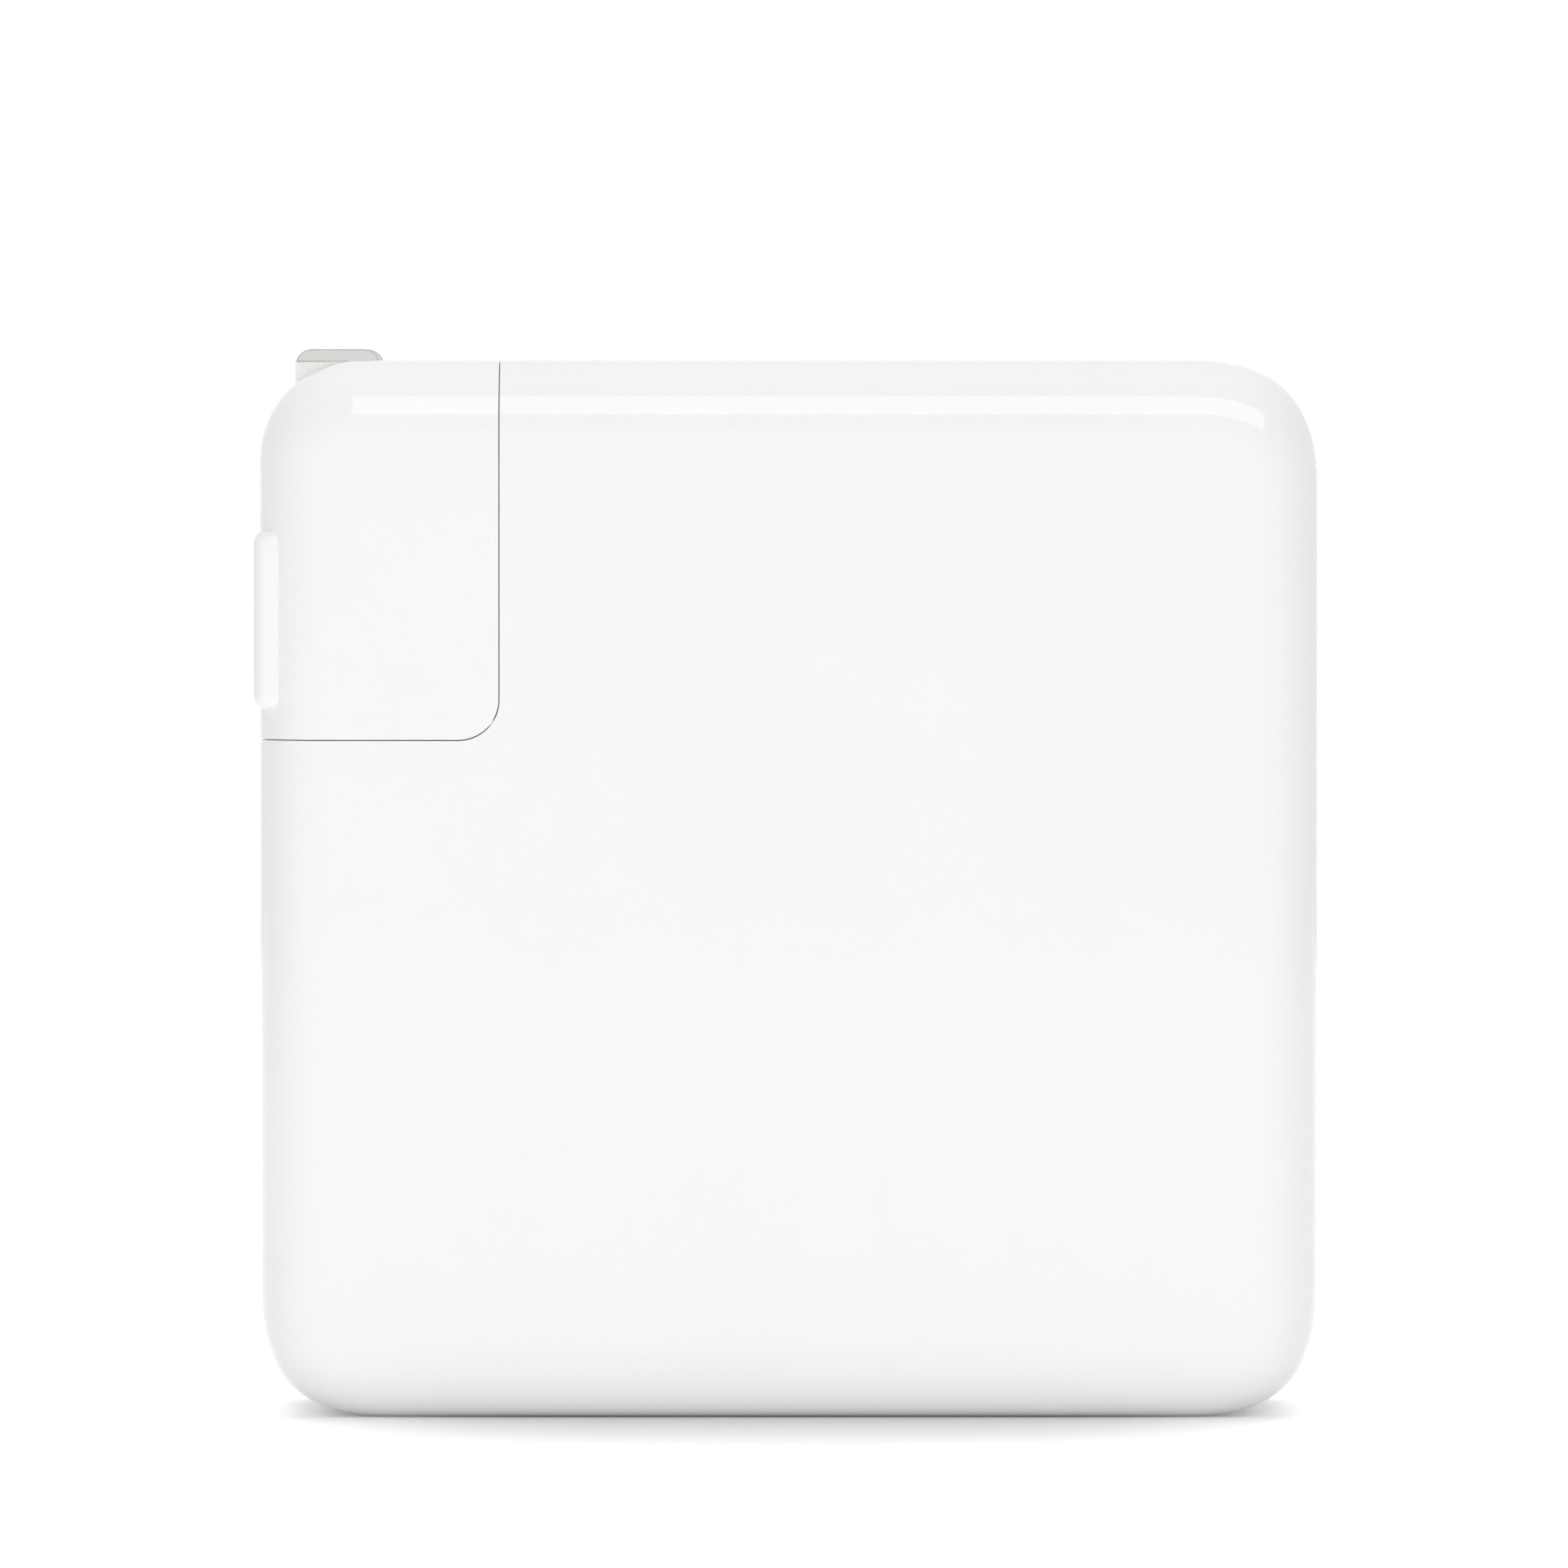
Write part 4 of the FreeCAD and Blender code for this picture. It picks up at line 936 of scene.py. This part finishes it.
def mix_colours(tree, factor):
    """A node that mixes two colours by a factor."""
    mix = add_node(tree, "ShaderNodeMix", data_type="RGBA")
    tree.links.new(factor, mix.inputs["Factor"])
    return mix


def rough(tree, shader, value, low, high):
    """Varies the shader's roughness by a value."""
    spread = add_node(tree, "ShaderNodeMapRange", {"To Min": low, "To Max": high})
    tree.links.new(value, spread.inputs["Value"])
    tree.links.new(spread.outputs["Result"], shader.inputs["Roughness"])


def bump(tree, shader, value, strength, distance):
    """Raises the surface by a value."""
    node = add_node(tree, "ShaderNodeBump", {"Strength": strength, "Distance": distance})
    tree.links.new(value, node.inputs["Height"])
    tree.links.new(node.outputs["Normal"], shader.inputs["Normal"])


def white_plastic(name, value):
    """Polished white plastic with the faint waviness of a moulded face."""
    if made_before(name):
        return made_before(name)
    material, tree, shader, place = start_material(name)
    tint(tree, shader, grain(tree, place, scale=60), *shades(value, FAINT))
    rough(tree, shader, grain(tree, place, scale=900), low=0.04, high=0.08)
    waves = grain(tree, place, scale=260, detail=2.0)
    bump(tree, shader, waves, strength=0.02, distance=0.2 * MM)
    shader.inputs["IOR"].default_value = 1.49
    return material


def matt_plastic(name, value, roughness=0.55):
    """Matt moulded plastic with a fine spark-eroded grain."""
    material, tree, shader, place = start_material(name)
    tint(tree, shader, grain(tree, place, scale=400), *shades(value, PLAIN))
    patches = grain(tree, place, scale=2500)
    rough(tree, shader, patches, low=roughness - 0.06, high=roughness + 0.06)
    fine = grain(tree, place, scale=6000, detail=2.0)
    bump(tree, shader, fine, strength=0.15, distance=0.04 * MM)
    return material


def satin_nickel():
    """Satin nickel with a fine sparkling grain, and painted shade at the bevelled tip: a darker
    colour in place of the bevel's darker reflection.
    """
    name = "blade_nickel"
    if made_before(name):
        return made_before(name)
    own, plug = finishes(), plug_sizes()
    material, tree, shader, place = start_material(name)
    fine = grain(tree, place, scale=9000, detail=4.0)
    # Painted shade: above the tip bevel's edge the colour turns to the darker tip nickel, standing
    # in for the bevel's darker reflection.
    height = add_node(tree, "ShaderNodeSeparateXYZ")
    tree.links.new(place, height.inputs[0])
    edge = BLADE_HIGH.z - plug.tip_bevel
    painted_tip_shade = add_node(
        tree,
        "ShaderNodeMapRange",
        {"From Min": edge - plug.tip_blend, "From Max": edge + plug.tip_blend},
    )
    tree.links.new(height.outputs["Z"], painted_tip_shade.inputs["Value"])
    mix = mix_colours(tree, painted_tip_shade.outputs["Result"])
    for place_in_mix, shade in ((MIX_FIRST, own.nickel), (MIX_SECOND, own.shaded_tip_nickel)):
        speckle = pattern_colour(tree, fine, *shades(shade, METALLIC))
        tree.links.new(speckle, mix.inputs[place_in_mix])
    tree.links.new(mix.outputs[MIX_RESULT], shader.inputs["Base Color"])
    rough(tree, shader, fine, low=0.26, high=0.44)
    bump(tree, shader, fine, strength=0.12, distance=0.03 * MM)
    shader.inputs["Metallic"].default_value = 1.0
    return material


def metal(name, value, roughness, scale, stretch=None):
    """Metal with a fine grain, drawn out along an axis where asked."""
    if made_before(name):
        return made_before(name)
    material, tree, shader, place = start_material(name)
    fine = grain(tree, place, scale, 4.0, stretch)
    tint(tree, shader, fine, *shades(value, METALLIC))
    rough(tree, shader, fine, low=roughness - 0.08, high=roughness + 0.1)
    bump(tree, shader, fine, strength=0.12, distance=0.03 * MM)
    shader.inputs["Metallic"].default_value = 1.0
    return material


def stud_steel():
    """Turned steel of the earth stud."""
    return metal("stud_steel", (0.52, 0.52, 0.51), 0.24, 1500, DRAWN_ALONG_X)


def pin_nickel():
    """Bright nickel of the inlet's pins."""
    return metal("pin_nickel", (0.62, 0.61, 0.58), 0.2, 4000)


def circuit_board():
    """Green solder mask with fainter copper tracks under it."""
    material, tree, shader, place = start_material("board_green")
    tracks = add_node(
        tree,
        "ShaderNodeTexBrick",
        {"Scale": 180.0, "Mortar Size": 0.03, "Brick Width": 0.9, "Row Height": 0.2},
    )
    tree.links.new(place, tracks.inputs["Vector"])
    tint(tree, shader, tracks.outputs["Fac"], (0.02, 0.16, 0.07), (0.05, 0.28, 0.13))
    rough(tree, shader, grain(tree, place, scale=1200), low=0.3, high=0.42)
    bump(tree, shader, tracks.outputs["Fac"], strength=0.3, distance=0.03 * MM)
    return material


def wound_wire():
    """Enamelled copper turns lying side by side."""
    material, tree, shader, place = start_material("winding_copper")
    turns = add_node(
        tree, "ShaderNodeTexWave", {"Scale": 700.0, "Distortion": 0.4}, bands_direction="Y"
    )
    tree.links.new(place, turns.inputs["Vector"])
    tint(tree, shader, turns.outputs["Fac"], (0.30, 0.10, 0.03), (0.72, 0.32, 0.12))
    bump(tree, shader, turns.outputs["Fac"], strength=0.6, distance=0.1 * MM)
    shader.inputs["Metallic"].default_value = 0.8
    shader.inputs["Roughness"].default_value = 0.35
    return material


def clear_film():
    """Amber insulating film with soft creases."""
    material, tree, shader, place = start_material("film_amber")
    tint(tree, shader, grain(tree, place, scale=90), (0.62, 0.36, 0.06), (0.74, 0.46, 0.10))
    creases = grain(tree, place, scale=120, detail=1.0)
    bump(tree, shader, creases, strength=0.1, distance=0.2 * MM)
    shader.inputs["Roughness"].default_value = 0.25
    return material


def slot_materials():
    """The material of every slot that a carried-over node uses."""
    own = finishes()
    return {
        "inlet_white": matt_plastic("inlet_white", (0.74, 0.74, 0.75)),
        "base_white": matt_plastic("base_white", (0.80, 0.80, 0.81), 0.42),
        "blade_nickel": satin_nickel(),
        "pin_nickel": pin_nickel(),
        "stud_steel": stud_steel(),
        "port_steel": metal("port_steel", (0.62, 0.62, 0.62), 0.3, 1500, DRAWN_ALONG_X),
        "port_black": matt_plastic("port_black", (0.02, 0.02, 0.022), 0.5),
        "contact_gold": metal("contact_gold", (0.83, 0.60, 0.26), 0.25, 3000),
        "spring_bronze": metal("spring_bronze", (0.66, 0.42, 0.24), 0.32, 1500, DRAWN_ALONG_X),
        "hub_black": matt_plastic("hub_black", (0.03, 0.03, 0.033), 0.5),
        "board_green": circuit_board(),
        "chip_black": matt_plastic("chip_black", (0.022, 0.022, 0.024), 0.6),
        "film_amber": clear_film(),
        "spreader_copper": metal("spreader_copper", (0.72, 0.40, 0.26), 0.35, 700, DRAWN_ALONG_X),
        "pad_grey": matt_plastic("pad_grey", (0.22, 0.25, 0.28), 0.8),
        "ferrite_grey": matt_plastic("ferrite_grey", (0.045, 0.045, 0.05), 0.7),
        "bobbin_black": matt_plastic("bobbin_black", (0.03, 0.03, 0.03), 0.5),
        "tape_yellow": matt_plastic("tape_yellow", (0.78, 0.56, 0.05), 0.4),
        "winding_copper": wound_wire(),
        "can_aluminium": metal("can_aluminium", (0.70, 0.71, 0.73), 0.3, 900, DRAWN_ACROSS_X),
        "case_yellow": matt_plastic("case_yellow", (0.80, 0.60, 0.12), 0.5),
        "case_blue": matt_plastic("case_blue", (0.03, 0.12, 0.40), 0.45),
        "heatsink_aluminium": metal(
            "heatsink_aluminium", (0.62, 0.63, 0.65), 0.35, 900, DRAWN_ALONG_X
        ),
        "case_white": white_plastic("case_white", own.case_white),
        "plug_white": white_plastic("plug_white", own.plug_white),
    }


class ADAPTER_OT_finishes(bpy.types.Operator):
    """Give every carried-over node its material"""

    bl_idname = "adapter.finishes"
    bl_label = "Finishes"

    def execute(self, context):
        materials = slot_materials()
        for entry in frame["record"]["subparts"]:
            node = frame["nodes"][entry["node"]]
            material = materials[entry["material_slot"]]
            if not node.data.materials:
                node.data.materials.append(material)
            for index in range(len(node.material_slots)):
                node.material_slots[index].material = material
        return {"FINISHED"}


# Floor, light and camera


def seen_directly(tree):
    """1 for camera, glossy and transmission rays, else 0."""
    rays = add_node(tree, "ShaderNodeLightPath")
    first = add_node(tree, "ShaderNodeMath", operation="MAXIMUM")
    tree.links.new(rays.outputs["Is Camera Ray"], first.inputs[0])
    tree.links.new(rays.outputs["Is Glossy Ray"], first.inputs[1])
    second = add_node(tree, "ShaderNodeMath", operation="MAXIMUM")
    tree.links.new(first.outputs[0], second.inputs[0])
    tree.links.new(rays.outputs["Is Transmission Ray"], second.inputs[1])
    return second.outputs[0]


def floor_material():
    """Pale floor that shows white away from the object's shadow."""
    material, tree, shader, place = start_material("floor")
    own = studio()
    tint(tree, shader, grain(tree, place, scale=3), *shades(finishes().floor, FAINT))
    shader.inputs["Roughness"].default_value = 0.9
    shader.inputs["Specular IOR Level"].default_value = 0.0
    shader.inputs["Emission Color"].default_value = (1, 1, 1, 1)
    # The square of the sideways distance keeps the shadow as wide as the object.
    sideways = add_node(tree, "ShaderNodeVectorMath", operation="MULTIPLY_ADD")
    tree.links.new(place, sideways.inputs[0])
    sideways.inputs[1].default_value = (1 / own.glow_width, 0, 0)
    sideways.inputs[2].default_value = (0, 1, 0)
    bent = add_node(tree, "ShaderNodeVectorMath", operation="MULTIPLY")
    tree.links.new(place, bent.inputs[0])
    tree.links.new(sideways.outputs["Vector"], bent.inputs[1])
    reach = add_node(tree, "ShaderNodeVectorMath", operation="LENGTH")
    tree.links.new(bent.outputs["Vector"], reach.inputs[0])
    ramp = add_node(
        tree,
        "ShaderNodeMapRange",
        {"From Min": own.glow_near, "From Max": own.glow_far, "To Max": own.floor_glow},
        interpolation_type="SMOOTHSTEP",
    )
    tree.links.new(reach.outputs["Value"], ramp.inputs["Value"])
    glow = add_node(tree, "ShaderNodeMath", operation="MULTIPLY")
    tree.links.new(ramp.outputs["Result"], glow.inputs[0])
    tree.links.new(seen_directly(tree), glow.inputs[1])
    tree.links.new(glow.outputs[0], shader.inputs["Emission Strength"])
    return material


def studio_world():
    """White surroundings, softer as light than as background."""
    world = bpy.data.worlds.new("studio")
    world.use_nodes = True
    tree = world.node_tree
    background = tree.nodes["Background"]
    mix = mix_colours(tree, seen_directly(tree))
    mix.inputs[MIX_FIRST].default_value = (*studio().ambient, 1)
    mix.inputs[MIX_SECOND].default_value = (1, 1, 1, 1)
    tree.links.new(mix.outputs[MIX_RESULT], background.inputs["Color"])
    background.inputs["Strength"].default_value = 1
    return world


def soft_light(name, rise, width, height, radiance):
    """An area lamp that faces the object from a given angle above the floor in front."""
    middle = Vector((0, 0, CASE_HIGH.z / 2))
    data = bpy.data.lights.new(name, "AREA")
    data.shape = "RECTANGLE"
    data.size = width
    data.size_y = height
    data.energy = radiance * math.pi * width * height
    lamp = bpy.data.objects.new(name, data)
    lamp.location = middle + studio().lamp_distance * Vector((0, -math.cos(rise), math.sin(rise)))
    lamp.rotation_euler = (math.pi / 2 - rise, 0, 0)
    bpy.context.scene.collection.objects.link(lamp)
    return lamp


class ADAPTER_OT_stage(bpy.types.Operator):
    """Set up the floor, the light and the camera"""

    bl_idname = "adapter.stage"
    bl_label = "Stage"

    def execute(self, context):
        scene, own = context.scene, studio()
        bpy.ops.object.select_all(action="DESELECT")
        bpy.ops.mesh.primitive_plane_add(size=own.floor_size, location=(0, 0, 0))
        floor = context.object
        floor.name = "floor"
        floor.data.materials.append(floor_material())
        scene.world = studio_world()
        top = soft_light("top_light", own.top_rise, own.top_width, own.top_size, own.top_light)
        fill = soft_light(
            "fill_light", own.fill_rise, own.fill_width, own.fill_height, own.fill_light
        )
        band = soft_light(
            "highlight", own.band_rise, own.band_width, own.band_height, own.band_light
        )
        band.visible_diffuse = False
        band.location.x = own.band_side
        top.visible_glossy = fill.visible_glossy = False
        top.visible_camera = fill.visible_camera = band.visible_camera = False
        scene.view_settings.view_transform = "Standard"
        data = bpy.data.cameras.new("camera")
        data.sensor_width = SENSOR
        data.lens = SENSOR * own.view_distance / own.view_width
        camera = bpy.data.objects.new("camera", data)
        face_y = CASE_LOW.y + sizes().edge_round
        camera.location = (own.view_side, face_y - own.view_distance, own.view_height)
        tilt = math.atan2(own.view_height - own.view_middle, own.view_distance)
        camera.rotation_euler = (math.pi / 2 - tilt, 0, 0)
        scene.collection.objects.link(camera)
        scene.camera = camera
        return {"FINISHED"}


OPERATORS = (
    ADAPTER_OT_case,
    ADAPTER_OT_plug,
    ADAPTER_OT_blades,
    ADAPTER_OT_stud,
    ADAPTER_OT_pins,
    ADAPTER_OT_finishes,
    ADAPTER_OT_stage,
)


class ADAPTER_PT_panel(bpy.types.Panel):
    """Lists the adapter's pieces and sizes"""

    bl_idname = "ADAPTER_PT_panel"
    bl_label = "Power adapter"
    bl_space_type = "VIEW_3D"
    bl_region_type = "UI"
    bl_category = "Adapter"

    def draw(self, context):
        layout = self.layout
        for operator in OPERATORS:
            layout.operator(operator.bl_idname)
        for place in GROUPS:
            group = getattr(context.scene, place)
            column = layout.box().column()
            for name in group.bl_rna.properties.keys():
                if name not in ("rna_type", "name"):
                    column.prop(group, name)


GROUPS = {
    "adapter_case": CaseSizes,
    "adapter_plug": PlugSizes,
    "adapter_fittings": FittingSizes,
    "adapter_finishes": Finishes,
    "adapter_studio": Studio,
}
CLASSES = (*GROUPS.values(), *OPERATORS, ADAPTER_PT_panel)


def register():
    """Registers the classes and hangs the sizes on the scene."""
    for item in CLASSES:
        bpy.utils.register_class(item)
    for place, group in GROUPS.items():
        setattr(bpy.types.Scene, place, PointerProperty(type=group))


def unregister():
    """Takes the classes and the sizes away again."""
    for place in GROUPS:
        delattr(bpy.types.Scene, place)
    for item in reversed(CLASSES):
        bpy.utils.unregister_class(item)


def main():
    """Builds every piece in order, gives the carried-over nodes their finishes and sets up the
    stage.
    """
    register()
    bpy.ops.adapter.case()
    bpy.ops.adapter.plug()
    bpy.ops.adapter.blades()
    bpy.ops.adapter.stud()
    bpy.ops.adapter.pins()
    bpy.ops.adapter.finishes()
    bpy.ops.adapter.stage()


if __name__ == "__main__":
    main()
